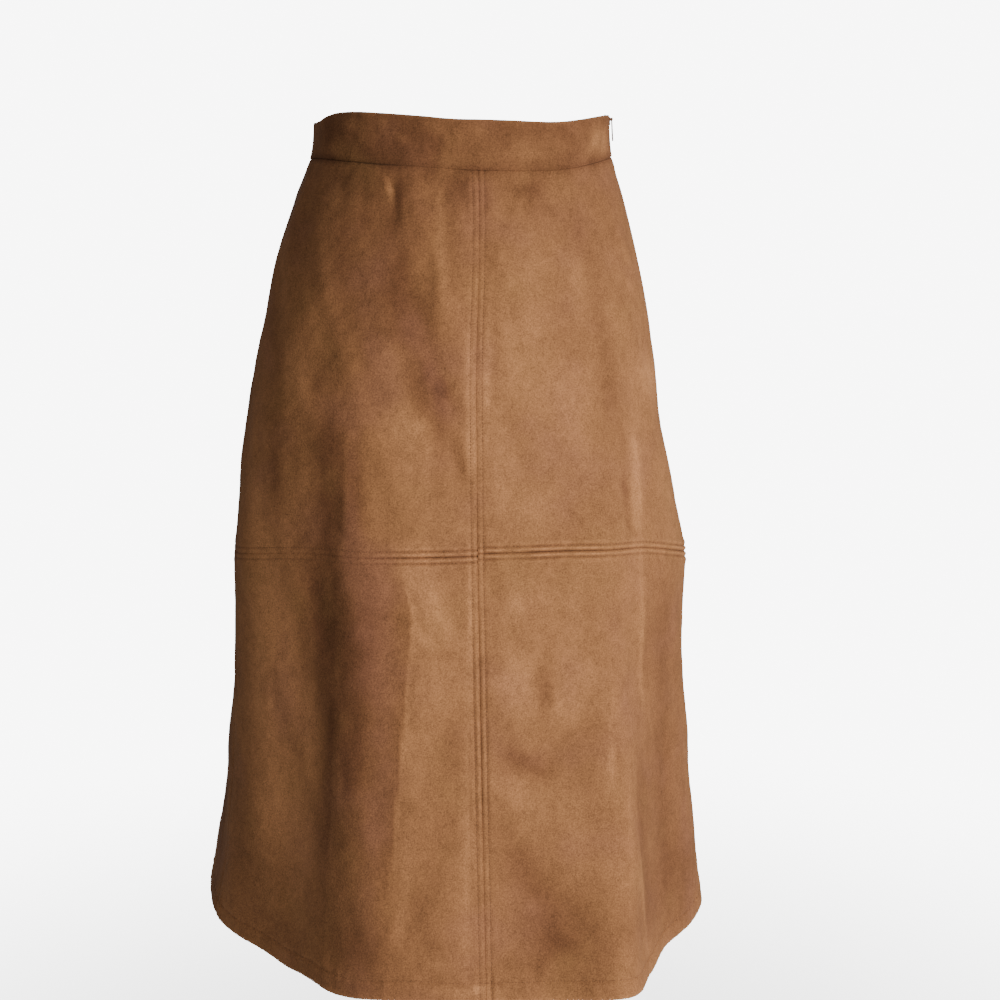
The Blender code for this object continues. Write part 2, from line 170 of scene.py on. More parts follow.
# Creases: angle and drop of the middle, length, lean of the lower end towards +X in
# degrees, half width, height (+ a ridge, - a trough), bow in the middle.
CREASES = table((
    # drag lines from the waist seam at the wearer's right
    (-35.3, 60, 34, 22, 2.8, -1.3, 1.5), (-37.6, 58.5, 26, 24, 2.6, 0.9, 0),
    (-32.2, 86, 34, 3, 3.4, -0.9, 1), (-29.6, 74, 40, 12, 4.4, 0.7, -1), (-46, 66, 40, 14, 5, -0.6, 0),
    # the long diagonal hollow down to the centre seam, with the swell under it
    (-21, 210, 150, 27, 15, -2, 6), (-12.2, 272, 150, 18, 8.5, -2.6, 4),
    (-6, 350, 90, 14, 6.5, -1.4, 0), (-24, 305, 190, 26, 14, 1.9, 6),
    (-13.2, 145, 150, 0, 7.5, 1.2, 2), (-18, 130, 100, 4, 7, -0.8, 0),
    # the edge of the fold beside the wearer's right hip
    (-41.6, 370, 150, 1, 5.5, 0.8, 1), (-46, 390, 140, 0, 11, -0.4, 0),
    (-43.4, 408, 18, 30, 2.6, -0.6, 0), (-38.6, 623, 60, 0, 2.6, -0.4, 0.4),
    (-40.6, 615, 80, 2, 4, 0.3, 0),
    # the lit edge below the middle seam
    (-21.6, 476, 50, 25, 4, -1.2, 2), (-17, 498, 40, 55, 3.8, -1.2, -2),
    (-13.6, 507, 20, 62, 2.2, -1.1, 0), (-22, 545, 90, -4, 5.5, -1.2, 2),
    (-23.4, 650, 110, -6, 6, -1.1, 1.5), (-23.2, 734, 34, -12, 2.6, 1.1, 0),
    (-9.2, 528.7, 38, 90, 2.2, -1, 0.6), (-9.2, 533, 34, 90, 3, 0.6, 0.6),
    # beside the ridge on the wearer's left
    (56.4, 365, 130, -6, 4.5, 1.1, 1), (54, 500, 150, -7, 4.2, 1.2, -1.2),
    (49.6, 372, 22, 12, 2.6, -1, 0), (50.4, 413, 26, 30, 2.6, -1, 0), (36.4, 660, 60, -14, 3.2, 1, 1),
    (40.6, 730, 80, 8, 4, 1.2, 1), (62, 630, 110, -5, 6.5, -1.4, 2), (66, 300, 120, -8, 7, 0.9, 2),
    # hollows low on the wearer's left
    (10.6, 606, 26, 58, 4.8, -1.8, 2), (16.4, 617, 30, 78, 4.2, -2, -2),
    (19.6, 608, 20, -58, 4, -1.2, 0), (15, 630, 40, 80, 6, 1.2, -3),
    (19.8, 552.4, 22, 10, 4.2, -0.9, 0), (30.5, 586, 26, -20, 4.6, -0.9, 0),
    (34.2, 611.8, 40, -14, 3.6, 0.9, 0), (14, 708, 140, 38, 16, -2, 8), (21, 738, 80, 32, 10, -1, 4),
    (-10, 650, 130, -22, 12, -1.6, 4), (5, 700, 80, 4, 8, 1, 0),
    # the sides and the back, from the wearer's left round to the right
    (101, 90, 50, 10, 3.6, -1.1, 1.5), (112, 270, 130, 14, 10, -1.6, 5),
    (118, 470, 120, -6, 5, 1.1, 1.5), (127, 640, 140, 4, 6, 1.2, 2), (134, 72, 36, -14, 3, -1.1, 1),
    (139, 360, 150, -24, 11, -1.7, 6), (146, 528, 40, 84, 2.8, -0.9, 1),
    (152, 700, 80, 12, 5.5, -1.2, 2), (160, 130, 110, 4, 7, 1, 2), (167, 300, 140, 22, 12, -1.8, 6),
    (178, 600, 120, -8, 6, 1.2, 1.5), (-172, 68, 32, 18, 2.8, -1, 1), (-168, 410, 90, -12, 6, -1.1, 2),
    (-160, 690, 120, 6, 6, 1.2, 2), (-154, 250, 130, -26, 12, -1.6, 6),
    (-146, 560, 100, 10, 5.5, -1.2, 2), (-133, 100, 50, -10, 3.6, -1, 1),
    (-126, 330, 120, 16, 9, 1.3, 4), (-119, 610, 140, -3, 6, 1.2, 1.5), (-108, 490, 70, 72, 5, -1.1, 2),
    (-97, 200, 110, -8, 8, -1.2, 3), (-93, 710, 90, 4, 5, 1, 1), (-72, 340, 120, 6, 8, -1, 2),
    (-68, 560, 150, 2, 8, 1, 2),
    # longer folds of the back
    (123, 300, 160, 12, 10, -2.2, 4), (157, 210, 120, -14, 8.5, -2, 4),
    (-163, 230, 120, -12, 8.5, -1.9, 4), (-143, 360, 140, -10, 12, 1.6, 5),
    (146.5, 600, 200, -2, 5, -1.4, 2), (-166, 620, 200, 0, 5, -1.3, 2),
    (106, 640, 160, -2, 6.5, -1.4, 2), (-113, 630, 160, 0, 6.5, -1.4, 2),
    # the waistband
    (-55, 20, 24, 70, 3, -0.5, 1), (-30, 26, 36, 82, 3.4, 0.4, 1), (24, 22, 40, 96, 3.6, -0.4, 1),
    (68.5, 19, 26, -28, 2.8, -1.1, 2), (64, 25, 22, -36, 3.4, 0.7, 0), (110, 21, 40, 78, 3.6, -0.6, 1),
    (165, 23, 50, 98, 4, -0.5, 1), (-120, 20, 34, 84, 3.4, -0.6, 1),
), 1, MM, MM, 1, MM, MM, MM)

# Marks in the nap, partly the pile's own brushed tone and partly painted light and shade of
# folds and creases: angle, drop, half width and half length, lean, and how much lighter (+) or
# darker (-) they make the pile there.
NAP_AND_SHADE_MARKS = table((
    # upper front, wearer's right
    (-13, 140, 6, 70, 2, 50), (-17.5, 150, 10, 60, 8, -22), (-22, 195, 18, 40, 30, -38),
    (-13.6, 262, 10, 40, 18, -78), (-6.4, 330, 8, 45, 14, -42), (-26, 215, 12, 16, 40, -30),
    (-30, 245, 10, 30, 24, 42), (-24, 300, 16, 60, 24, 36), (-18.5, 372, 16, 40, 30, 30),
    (-11, 408, 18, 20, 60, 24), (-35.5, 235, 12, 45, 6, -20), (-34.8, 65, 4, 22, 22, 60),
    (-31.4, 75, 4, 22, 4, -55), (-33.5, 100, 5, 15, 0, -30), (-41, 140, 20, 60, 0, 16),
    (-50, 200, 20, 50, 0, 12), (-47.5, 300, 12, 30, 0, -30), (-57, 268, 8, 22, 10, 28),
    (-52, 262, 6, 20, -6, -34), (-46.2, 380, 12, 70, 0, -20), (-44, 406, 3.4, 6, 30, -40),
    (-37, 350, 10, 50, 4, 14), (-6, 58, 12, 20, 0, -40), (-20, 62, 18, 16, 60, 20),
    # lower front, wearer's right
    (-47, 520, 11, 80, -4, -40), (-43.5, 640, 11, 80, -6, -34), (-60, 520, 17, 110, -2, 26),
    (-56, 680, 19, 80, 0, 30), (-34, 500, 17, 50, 0, -10), (-30, 620, 16, 100, -2, -16),
    (-18.6, 466, 12, 24, 30, 44), (-14, 482, 10, 20, 40, 40), (-15, 560, 16, 60, -6, 34),
    (-19.4, 650, 9, 80, -8, 30), (-8, 604, 12, 40, -8, -40), (-13, 690, 13, 55, -16, -42),
    (-21, 732, 6, 30, -8, 34), (-4.6, 660, 7, 100, 0, 30), (-30, 745, 30, 30, 0, -20),
    # upper front, wearer's left
    (30, 62, 20, 12, 80, -44), (18, 90, 18, 30, 20, 26), (12, 160, 8, 80, 0, 22),
    (24, 180, 18, 60, 10, 20), (38, 150, 12, 30, -20, 22), (34, 230, 16, 30, 30, -14),
    (47.5, 240, 12, 110, 0, -30), (43, 350, 12, 50, 0, -18), (30, 300, 20, 50, 20, 12),
    (20, 390, 16, 20, 70, 18), (56.6, 350, 8, 50, -4, 30), (49.6, 372, 4, 10, 12, -45),
    (50.4, 412, 4, 10, 40, -55), (8, 330, 6, 60, 0, 22),
    # lower front, wearer's left
    (22, 472, 17, 22, 60, 20), (12, 470, 8, 16, 30, -28), (10, 535, 9, 22, 10, 28),
    (19.8, 552, 7, 14, 0, -42), (26, 530, 12, 24, -10, 24), (36, 500, 12, 30, 0, 14),
    (30.5, 586, 8, 18, -10, -34), (34.2, 614, 5, 18, -14, 40), (16.4, 612, 11, 17, 76, -75),
    (10.6, 604, 6, 12, 58, -45), (9, 590, 4, 20, 0, -30), (12, 640, 13, 24, 40, 34),
    (24, 640, 14, 30, 20, 16), (11, 690, 15, 60, 36, -36), (20, 730, 16, 35, 34, -30),
    (14.5, 766, 14, 34, 88, -30), (30, 700, 16, 40, 10, 20), (53.2, 500, 5, 90, -6, 40),
    (37, 670, 5, 30, -12, 34), (41, 730, 6, 50, 6, 34), (62, 560, 16, 110, -4, -20),
    (60, 700, 16, 80, 0, -20),
    # broad strokes of the front
    (-31.5, 57, 56.7, 20, 87, -35), (-33.8, 143, 21.3, 45, 5, -40), (-44.2, 475, 22, 135, 2, -65),
    (-46.8, 352, 15.8, 60, 1, -55), (-38.5, 681, 26.7, 56, 5, -40), (-32.5, 517, 16, 76, 3, -50),
    (-27.5, 299, 14.1, 34, 10, 55), (-17.8, 275, 10.9, 44, 15, -40), (-12.8, 323, 6.3, 54, 0, -35),
    (-19, 438, 23.2, 19, 1, 75), (-16.5, 489, 8.4, 23, 1, 60), (16, 247, 31.4, 62, -2, 25),
    (12, 477, 9.3, 12, -2, 50), (12.2, 550, 37.1, 15, 70, 45), (31.2, 539, 11.6, 12, -8, 45),
    (7, 606, 11.1, 14, 22, -35), (10.8, 709, 18.3, 48, 24, -35), (18, 760, 24, 17, 68, -28),
    (67.2, 503, 46, 57, 0, -45), (66, 636, 55.3, 93, -7, -50), (70.5, 748, 37.3, 46, -16, -60),
    (45.2, 653, 27.5, 81, -16, -30), (23.5, 687, 10.6, 39, -7, 25),
    # strokes over them, most of them smaller, and some on the waistband
    (-45.8, 148, 15.2, 61, 8, -50), (-29.2, 180, 21.3, 53, 8, -28), (-23, 267, 9.2, 18, 19, -45),
    (-62.2, 246, 11.5, 24, 11, 75), (-42.8, 61, 12.8, 21, 9, -45), (-39.5, 362, 8, 51, 2, -60),
    (-67.2, 493, 24.3, 142, 0, 115), (-58.5, 529, 10.9, 71, 0, 40), (-50.5, 592, 14.6, 41, 2, 95),
    (-61, 669, 32.5, 45, 2, 65), (-52, 469, 15.5, 31, 2, -50), (-38.2, 509, 13.2, 59, 3, -35),
    (-36, 604, 11.2, 34, 4, -75), (-29, 477, 13.7, 35, 3, -30), (-19.5, 628, 16.2, 71, -2, -30),
    (-33, 752, 25.9, 24, 5, -50), (-2.2, 283, 6.4, 91, -1, 65), (-2.8, 481, 3.5, 52, -1, 40),
    (-12.8, 247, 7, 11, 0, 50), (36.2, 65, 26.1, 14, -10, 60), (29.2, 125, 29, 33, -7, 25),
    (32.2, 279, 39.7, 36, -3, 28), (70, 257, 25.8, 24, -16, 60), (58.5, 341, 13.4, 31, -11, 30),
    (11, 473, 11.4, 28, -3, 40), (6.2, 544, 13.1, 9, -2, 45), (25.2, 564, 29.6, 17, -5, 35),
    (32.5, 739, 33.7, 22, -48, -35), (65.5, 24, 15.8, 15, -8, 80), (-6.8, 782, 27.2, 5, 0, 45),
    (-47.8, 28, 22.8, 19, 4, -30), (-14.5, 22, 26.7, 10, 1, -35), (-62.8, 32, 9.9, 8, 9, 60),
    (-56.5, 77, 7.8, 12, 18, 60), (-44.8, 57, 17.1, 16, 10, -35), (-14, 87, 5.3, 36, 2, 30),
    (-49.8, 139, 11.7, 51, 9, -40), (-26.5, 139, 8.1, 22, 4, -35), (-68.5, 123, 21, 29, 22, -40),
    (-49.5, 234, 21.9, 46, 6, -40), (-71.5, 226, 16.3, 57, 21, -45), (-64.2, 350, 8.8, 50, 2, -65),
    (3.8, 257, 4.7, 61, -1, 70), (-2, 329, 6.5, 39, 0, 35), (-38, 366, 11, 46, 2, -35),
    (-48.8, 481, 9.2, 36, 2, -50), (-37, 550, 18.4, 92, 3, -35), (-53.8, 576, 10.3, 26, 1, 35),
    (-75, 695, 22.7, 76, 7, -30), (-50.2, 687, 16, 25, 6, 35), (-15.8, 628, 19.8, 59, 1, -35),
    (-39.2, 709, 11.9, 20, 7, -40), (-28.2, 760, 28.9, 27, 5, -30), (-56.8, 768, 29.1, 12, 11, -35),
    (50.8, 752, 43.4, 38, -15, -30), (15, 372, 27.6, 44, -1, 25), (30.5, 487, 7, 40, -5, 30),
    (-43.8, 406, 7.5, 33, 3, 40), (54.8, 368, 8, 53, -7, 30), (50, 386, 5.8, 40, -7, -45),
    (-4.2, 638, 2.4, 142, -1, 35), (-12.8, 519, 16.3, 5, 0, -35), (-73.8, 376, 12.1, 60, 7, 30),
    # spots, short strokes and a few faint broad ones, of the front and the waistband
    (-12.8, 271, 4.6, 9, 8, -60), (-19, 307, 10.6, 6, 31, 35), (-23.5, 346, 6.9, 7, 0, 30),
    (-30.5, 236, 6.1, 11, 2, 35), (-25, 311, 8.5, 21, 26, 30), (-18.2, 291, 7.2, 17, 17, -35),
    (-7.2, 307, 6.5, 26, 0, 35), (-2.8, 244, 5.3, 19, -1, 35), (-70.8, 378, 9.7, 24, 3, 35),
    (-64.5, 364, 7.1, 50, 2, -30), (-54.8, 364, 6.3, 14, 0, 35), (-43, 99, 8, 15, 17, -40),
    (-18, 44, 10.7, 11, 1, -40), (6.2, 71, 5.6, 16, -3, -40), (-42, 572, 7.7, 23, -5, -50),
    (-64.2, 548, 9, 15, 0, 45), (-23, 701, 7.3, 14, -4, -35), (-31.5, 786, 26.6, 7, 4, -40),
    (-11.2, 762, 9.3, 6, 0, 35), (-33.8, 495, 7.1, 43, 3, -35), (-54.2, 8, 10, 5, 0, 40),
    (-39.8, 4, 6.4, 4, 0, 35), (3.5, 8, 11.9, 6, 0, 30), (23.2, 20, 9.3, 5, -3, 30),
    (-23.8, 10, 12.4, 7, 0, -20), (68.2, 24, 14.1, 9, -8, 35), (34.2, 608, 3.9, 10, -11, 40),
    (35.8, 610, 3.9, 12, -11, -35), (33.8, 592, 3.2, 13, -6, -30), (20.2, 546, 9.4, 17, -5, -30),
    (18.8, 570, 5.6, 11, -4, -25), (-2, 780, 5.7, 3, 0, 75), (3, 778, 4.7, 3, 0, -35),
    (-5.5, 778, 6.1, 3, -9, -30), (14, 743, 22.2, 14, -27, -40), (19.5, 752, 15.8, 8, -7, -25),
    (51.8, 731, 65.7, 51, -14, -28), (-24, 675, 23.8, 46, -4, -28), (-14.2, 576, 19.6, 25, 2, -28),
    (-30.8, 180, 36.2, 64, -5, -18), (-37.8, 614, 6.6, 26, 4, -45), (-35, 59, 3.7, 12, -16, 55),
    (-31.5, 81, 4.5, 14, 6, -45), (-12.8, 271, 5.2, 9, 8, -70), (-17, 255, 4.6, 13, -29, -30),
    (-9.2, 261, 3.7, 14, 23, 30), (4.2, 232, 6.5, 19, -1, 35), (-23, 689, 7.2, 18, -7, -20),
    (27.2, 61, 15.3, 8, 2, -35), (43.5, 113, 7.6, 16, -11, -35), (57.2, 180, 7.5, 13, -15, -30),
    (46.8, 228, 5.5, 10, -6, -25), (49, 275, 10.7, 29, -1, -25), (51, 325, 6.4, 19, 2, -30),
    (38.8, 168, 6.4, 21, -8, 22), (17.8, 206, 13.1, 20, -3, 22), (-15, 548, 14.5, 22, 1, -15),
    (-31.2, 16, 4.2, 10, 72, 45), (-17.5, 6, 4.8, 8, 67, 35), (-6.2, 18, 7, 14, 77, 25),
    (23.2, 28, 4, 21, 85, 30), (59.2, 28, 5.2, 14, -56, 45), (45.2, 16, 6.9, 13, 63, -20),
    (-41.2, 26, 7, 9, 90, -20),
    # broad strokes of the back: pile tone and painted light and shade of its folds
    (100, 150, 20, 70, 4, -35), (110, 230, 24, 90, 8, 40), (121, 330, 16, 80, 12, -55),
    (131, 250, 26, 70, -6, 35), (141, 180, 20, 60, -10, -40), (149, 330, 22, 80, -18, 45),
    (158, 240, 14, 70, -14, -55), (170, 200, 26, 60, 6, 40), (178, 360, 16, 70, 12, -50),
    (-172, 300, 18, 60, -8, 35), (-163, 230, 18, 70, -12, -50), (-152, 350, 22, 60, 10, 40),
    (-143, 220, 18, 70, -6, -45), (-133, 260, 22, 60, 8, 35), (-122, 370, 16, 60, 0, -50),
    (-112, 250, 20, 70, 4, 30), (98, 560, 18, 110, 0, 35), (106, 620, 16, 130, -2, -60),
    (116, 540, 18, 90, -4, 40), (124, 650, 20, 90, -2, -40), (134, 560, 22, 80, 4, 40),
    (142, 680, 16, 90, 2, -65), (151, 600, 20, 70, 0, 35), (157, 700, 14, 70, 0, -55),
    (168, 580, 22, 90, 2, 45), (176, 690, 16, 80, 0, -60), (-173, 560, 18, 70, -4, 35),
    (-163, 650, 18, 100, 0, -50), (-154, 570, 20, 80, 0, 35), (-142, 660, 18, 110, 0, -65),
    (-131, 580, 20, 80, 2, 40), (-121, 700, 16, 80, 0, 35), (-113, 600, 14, 110, 0, -55),
    (-103, 560, 18, 80, 0, 35), (-96, 690, 20, 70, 0, -35),
    # the sides
    (-92, 300, 18, 80, 6, -40), (-100, 420, 18, 60, -4, 40), (-95, 560, 18, 70, 0, -40),
    (-104, 300, 16, 70, 0, 35), (91, 300, 18, 80, 4, -35), (97, 430, 18, 50, 4, 40),
    (91, 640, 18, 90, 0, -45),
    # smaller strokes of the back: pile tone and painted light and shade of its folds
    (104, 180, 18, 60, 6, 24), (113, 300, 12, 60, 14, -36), (124, 120, 20, 30, 60, 22),
    (121, 500, 12, 80, -6, 32), (133, 660, 16, 80, 4, -26), (138, 350, 14, 70, -24, -40),
    (144, 420, 18, 40, -40, 30), (150, 200, 16, 80, 2, 18), (153, 560, 14, 50, 10, -28),
    (162, 700, 18, 60, -12, 28), (166, 310, 12, 60, 22, -44), (172, 100, 26, 24, 80, -26),
    (176, 500, 18, 50, 20, 26), (-176, 250, 14, 60, 4, 26), (-170, 640, 12, 70, -6, -32),
    (-164, 400, 16, 50, -16, -22), (-158, 160, 18, 50, 10, 22), (-152, 270, 13, 60, -26, -38),
    (-148, 540, 16, 60, 8, 26), (-140, 700, 18, 60, 0, -22), (-134, 360, 15, 60, 16, 24),
    (-124, 200, 18, 60, -6, -20), (-120, 580, 12, 100, -3, 30), (-110, 380, 15, 60, 10, -24),
    (-104, 660, 17, 70, 0, 22), (-98, 140, 16, 50, 0, 18),
    # the waistband
    (-66, 20, 10, 14, 0, -30), (-48, 18, 9, 26, 84, 20), (-28, 24, 9, 18, 60, -22),
    (-12, 30, 7, 22, 86, 24), (4, 14, 8, 26, 88, 12), (30, 28, 9, 26, 96, 16),
    (52, 22, 10, 18, 60, 16), (66, 20, 5, 14, -30, -45), (120, 22, 10, 30, 86, -20),
    (170, 20, 10, 34, 92, 22), (-130, 22, 10, 30, 88, -18),
), 1, MM, MM, MM, 1, PERCENT)

# Painted light along the edges of folds, fading away from the edge, with painted shade on the
# other side: points down the edge as angle and drop, how far it fades towards +X, how much
# lighter or darker it makes the pile there, and how soft the edge is, in millimetres and hundredths too.
FOLD_EDGE_LIGHT = (
    (((-25.6, 440), (-24.2, 452), (-21, 485),
      (-21.6, 510), (-22.2, 552), (-23.2, 622), (-24.2, 680), (-24.6, 720)), 40, 80, 1.2),
    (((-43, 300), (-42.3, 340), (-42, 380), (-42.6, 420), (-43.6, 440)), 22, 30, 1.6),
    (((-44, 440), (-43.2, 500), (-42.6, 600), (-42, 700), (-41.6, 765)), 30, 30, 3),
    (((57.5, 300), (56.2, 386), (54.4, 440), (53.6, 500), (51.8, 572)), 14, -34, 1),
    (((46, 600), (42.5, 650), (42, 700), (42.6, 780)), 30, -30, 1.6),
    (((146, 470), (147, 520), (146.5, 600), (145, 700), (144, 760)), 34, 50, 1.4),
    (((-128, 200), (-126, 280), (-125, 360), (-126, 410)), 26, 45, 1.6),
    (((-166, 480), (-165, 560), (-166, 660), (-167, 740)), 30, -45, 1.4),
    (((118, 110), (116.5, 180), (116, 260), (117, 320)), 24, 40, 1.6),
)
EDGE_TAPER = 0.03
SHADE_BESIDE_WIDTH = 0.016
SHADE_BESIDE_SHARE = 0.35

# Warmer, pinker patches of pile: angle, drop, half width and half length, lean, how much.
ROSY_MARKS = table((
    (-33, 235, 16, 60, 12, 95), (-25, 190, 17, 45, 25, 85), (-39.5, 370, 9, 65, 0, 90),
    (-62, 510, 12, 70, 0, 80), (-32, 500, 17, 60, 0, 75), (-29, 650, 13, 100, -3, 80),
    (-20, 70, 20, 20, 0, 35), (3, 60, 14, 20, 0, 60), (28, 540, 12, 40, 0, 40),
    (15, 500, 10, 30, 0, 40), (34, 130, 14, 30, 0, 35), (40, 620, 12, 40, 0, 40),
    (18, 700, 18, 40, 30, -40), (-46, 420, 11, 70, 0, -45), (-16, 260, 11, 60, 16, 60),
    (-55, 150, 20, 50, 0, -30), (118, 300, 16, 60, 10, 50), (150, 460, 16, 50, -20, 45),
    (178, 200, 18, 50, 0, 45), (-155, 600, 16, 60, 0, 50), (-125, 300, 16, 60, 8, 45),
    (165, 640, 18, 50, 0, -40), (-140, 480, 18, 50, 0, -40),
), 1, MM, MM, MM, 1, PERCENT)

# Slow waves that leave no stretch of cloth quite flat: lengths round the body and down
# it, phase in turns, height.
UNDULATION = table((
    (83, 310, 0.1, 0.5), (-61, 170, 0.35, 0.34), (47, -110, 0.72, 0.22), (150, 90, 0.55, 0.4),
    (-29, 64, 0.2, 0.12), (22, 35, 0.85, 0.07), (35, 19, 0.42, 0.06),
), MM, MM, 1, MM)
# From this angle to the back's middle the waves fade out, because they don't meet there.
CALM_BEHIND = 174.0
# Uneven take-up of a sewn line, and its finer puckers: length of the wave, phase in turns, share.
TAKE_UP = table(((53, 0.15, 40), (21.7, 0.62, 32), (13.1, 0.30, 28)), MM, 1, PERCENT)
PUCKER = table(((9.3, 0.40, 50), (6.7, 0.10, 30), (14.8, 0.75, 20)), MM, 1, PERCENT)


def smooth_step(start, end, value):
    """0 before start, 1 after end, with level tangents at both."""
    t = np.clip((value - start) / (end - start), 0.0, 1.0)
    return t * t * (3.0 - 2.0 * t)


def hump(value, width):
    """1 at nought, falling away smoothly over a width."""
    return np.exp(-(value / width) ** 2)


def turned(angle):
    """The same direction as an angle from -180 to 180 degrees."""
    return (angle + 180.0) % 360.0 - 180.0


def unit(vectors):
    """The same directions at a length of one."""
    return vectors / np.linalg.norm(vectors, axis=-1, keepdims=True)


def section_value(column, drop):
    """One column of SECTIONS at any drop, by a smooth curve through its rows."""
    rows = np.array(SECTIONS)
    at, values = rows[:, 0], rows[:, column]
    span = np.diff(at)
    slope = np.diff(values) / span
    tangent = np.empty_like(values)
    tangent[0], tangent[-1] = slope[0], slope[-1]
    tangent[1:-1] = (slope[1:] * span[:-1] + slope[:-1] * span[1:]) / (span[:-1] + span[1:])
    i = np.clip(np.searchsorted(at, drop, side="right") - 1, 0, len(at) - 2)
    h = span[i]
    t = (drop - at[i]) / h
    start = (2 * t**3 - 3 * t**2 + 1) * values[i] + (t**3 - 2 * t**2 + t) * h * tangent[i]
    end = (3 * t**2 - 2 * t**3) * values[i + 1] + (t**3 - t**2) * h * tangent[i + 1]
    return start + end


def fold_height(angle, drop):
    """How far the hanging folds push the cloth out."""
    height = np.zeros_like(angle)
    for top_angle, hem_angle, begins, at_mid, at_hem, width in FOLDS:
        way_down = np.clip((drop - begins) / (LENGTH - begins), 0.0, 1.0)
        crest = top_angle + (hem_angle - top_angle) * way_down
        size = at_mid * smooth_step(begins, MID_SEAM, drop)
        size = size + (at_hem - at_mid) * smooth_step(MID_SEAM, LENGTH, drop)
        height = height + size * hump(turned(angle - crest), width)
    return height


def cloth_point(angle, drop):
    """Point on the plain outer face of the cloth."""
    left, right, front, back, lift, level_to, tilt = (section_value(k, drop) for k in range(1, 8))
    sine, cosine = np.sin(np.radians(angle)), np.cos(np.radians(angle))
    half_width = np.where(sine < 0.0, left, right)
    half_depth = np.where(cosine > 0.0, front, back)
    radius = (np.abs(sine / half_width) ** SQUARENESS
              + np.abs(cosine / half_depth) ** SQUARENESS) ** (-1.0 / SQUARENESS)
    radius = radius + fold_height(angle, drop)
    away = np.abs(turned(angle))
    height = TOP - drop + lift * (1.0 - smooth_step(level_to, SIDE_LINE, away)) + tilt * sine
    return np.stack([radius * sine, -radius * cosine, height], axis=-1)


def cloth_normal(angle, drop):
    """Outward unit normal of the plain outer face, measured over a small step each way."""
    step_round, step_down, past_edge = 0.05, 0.0005, 0.01
    round_way = cloth_point(angle + step_round, drop) - cloth_point(angle - step_round, drop)
    low, high = (np.clip(drop + step, -past_edge, LENGTH + past_edge) for step in (step_down, -step_down))
    return unit(np.cross(cloth_point(angle, low) - cloth_point(angle, high), round_way))


def radius_at(angle, drop):
    """Distance of the cloth from the upright axis."""
    return np.linalg.norm(cloth_point(angle, drop)[..., :2], axis=-1)


def line_run(run, angle):
    """Value of a table of angles at any angle, by a smooth curve that closes round the skirt."""
    at, value = np.array(sorted(run), float).T
    at = np.concatenate([at[-2:] - 360.0, at, at[:2] + 360.0])
    value = np.concatenate([value[-2:], value, value[:2]])
    where = turned(angle)
    i = np.clip(np.searchsorted(at, where, side="right") - 1, 1, len(at) - 3)
    slope = (value[2:] - value[:-2]) / (at[2:] - at[:-2])
    span = at[i + 1] - at[i]
    t = (where - at[i]) / span
    ends = value[i] + (value[i + 1] - value[i]) * t * t * (3.0 - 2.0 * t)
    return ends + span * (slope[i - 1] * t * (1.0 - t) ** 2 - slope[i] * t * t * (1.0 - t))


def centre_show(drop):
    """How clearly the seam down the front shows."""
    at, value = np.array(CENTRE_SHOW).T
    return np.interp(drop, at, value)


def centre_seam(drop):
    """Angle of the seam down the front."""
    return CENTRE_LEAN * (1.0 - smooth_step(BAND_HEIGHT, CENTRE_STRAIGHT_FROM, drop))


def wavy(along, waves):
    """An uneven wave between about -1 and 1, made of a few plain ones."""
    return sum(share * np.sin(math.tau * (along / length + phase)) for length, phase, share in waves)


def on_stroke(angle, drop, at_angle, at_drop, lean):
    """Distances of points along and across a leaning stroke, from its middle."""
    reach = float(radius_at(np.array(at_angle), np.array(at_drop)))
    around, down = np.radians(turned(angle - at_angle)) * reach, drop - at_drop
    sine, cosine = math.sin(math.radians(lean)), math.cos(math.radians(lean))
    return down * cosine + around * sine, around * cosine - down * sine


def creased(angle, drop):
    """All creases, as soft troughs and ridges that taper at both ends."""
    height = np.zeros_like(angle)
    for at_angle, at_drop, length, lean, width, size, bow in CREASES:
        along, across = on_stroke(angle, drop, at_angle, at_drop, lean)
        within = 1.0 - (along / (length / 2)) ** 2
        height = height + size * hump(across - bow * within, width) * np.clip(within, 0.0, 1.0) ** 2
    return height


def swollen(angle, drop):
    """Soft swells, hollows and the slow waves of hanging cloth, which stop at the back's middle."""
    height = np.zeros_like(angle)
    for at_angle, at_drop, half_angle, half_drop, push in SWELLS:
        height = height + push * hump(turned(angle - at_angle), half_angle) * hump(drop - at_drop, half_drop)
    around = np.radians(turned(angle)) * MEAN_RADIUS
    calm = smooth_step(180.0, CALM_BEHIND, np.abs(turned(angle)))
    for round_length, down_length, phase, size in UNDULATION:
        wave = np.sin(math.tau * (around / round_length + drop / down_length + phase))
        height = height + size * wave * calm
    return height


class Place:
    """Points of the cloth: their distances from each seam and edge, and their soft folds."""

    def __init__(self, angle, drop):
        self.angle, self.drop, self.turn = angle, drop, turned(angle)
        reach = radius_at(angle, drop)
        self.around = np.radians(self.turn) * reach
        self.below_waist = drop - BAND_HEIGHT - line_run(WAIST_RUN, angle)
        self.on_band = self.below_waist < 0.0
        self.from_top = np.maximum(drop - line_run(TOP_RUN, angle), 0.0)
        self.from_hem = np.maximum(LENGTH + line_run(HEM_RUN, angle) - drop, 0.0)
        self.from_mid = np.abs(drop - MID_SEAM - line_run(MID_RUN, angle))
        self.from_side = np.radians(np.abs(np.abs(self.turn) - SIDE_SEAM)) * reach
        self.from_centre = np.abs(np.radians(self.turn - centre_seam(drop))) * reach
        self.by_centre = ~self.on_band & (np.abs(self.turn) <= CENTRE_REACH)
        self.swell, self.crease = swollen(angle, drop), creased(angle, drop)


# ------------------------------------------------------------------ relief of the finish

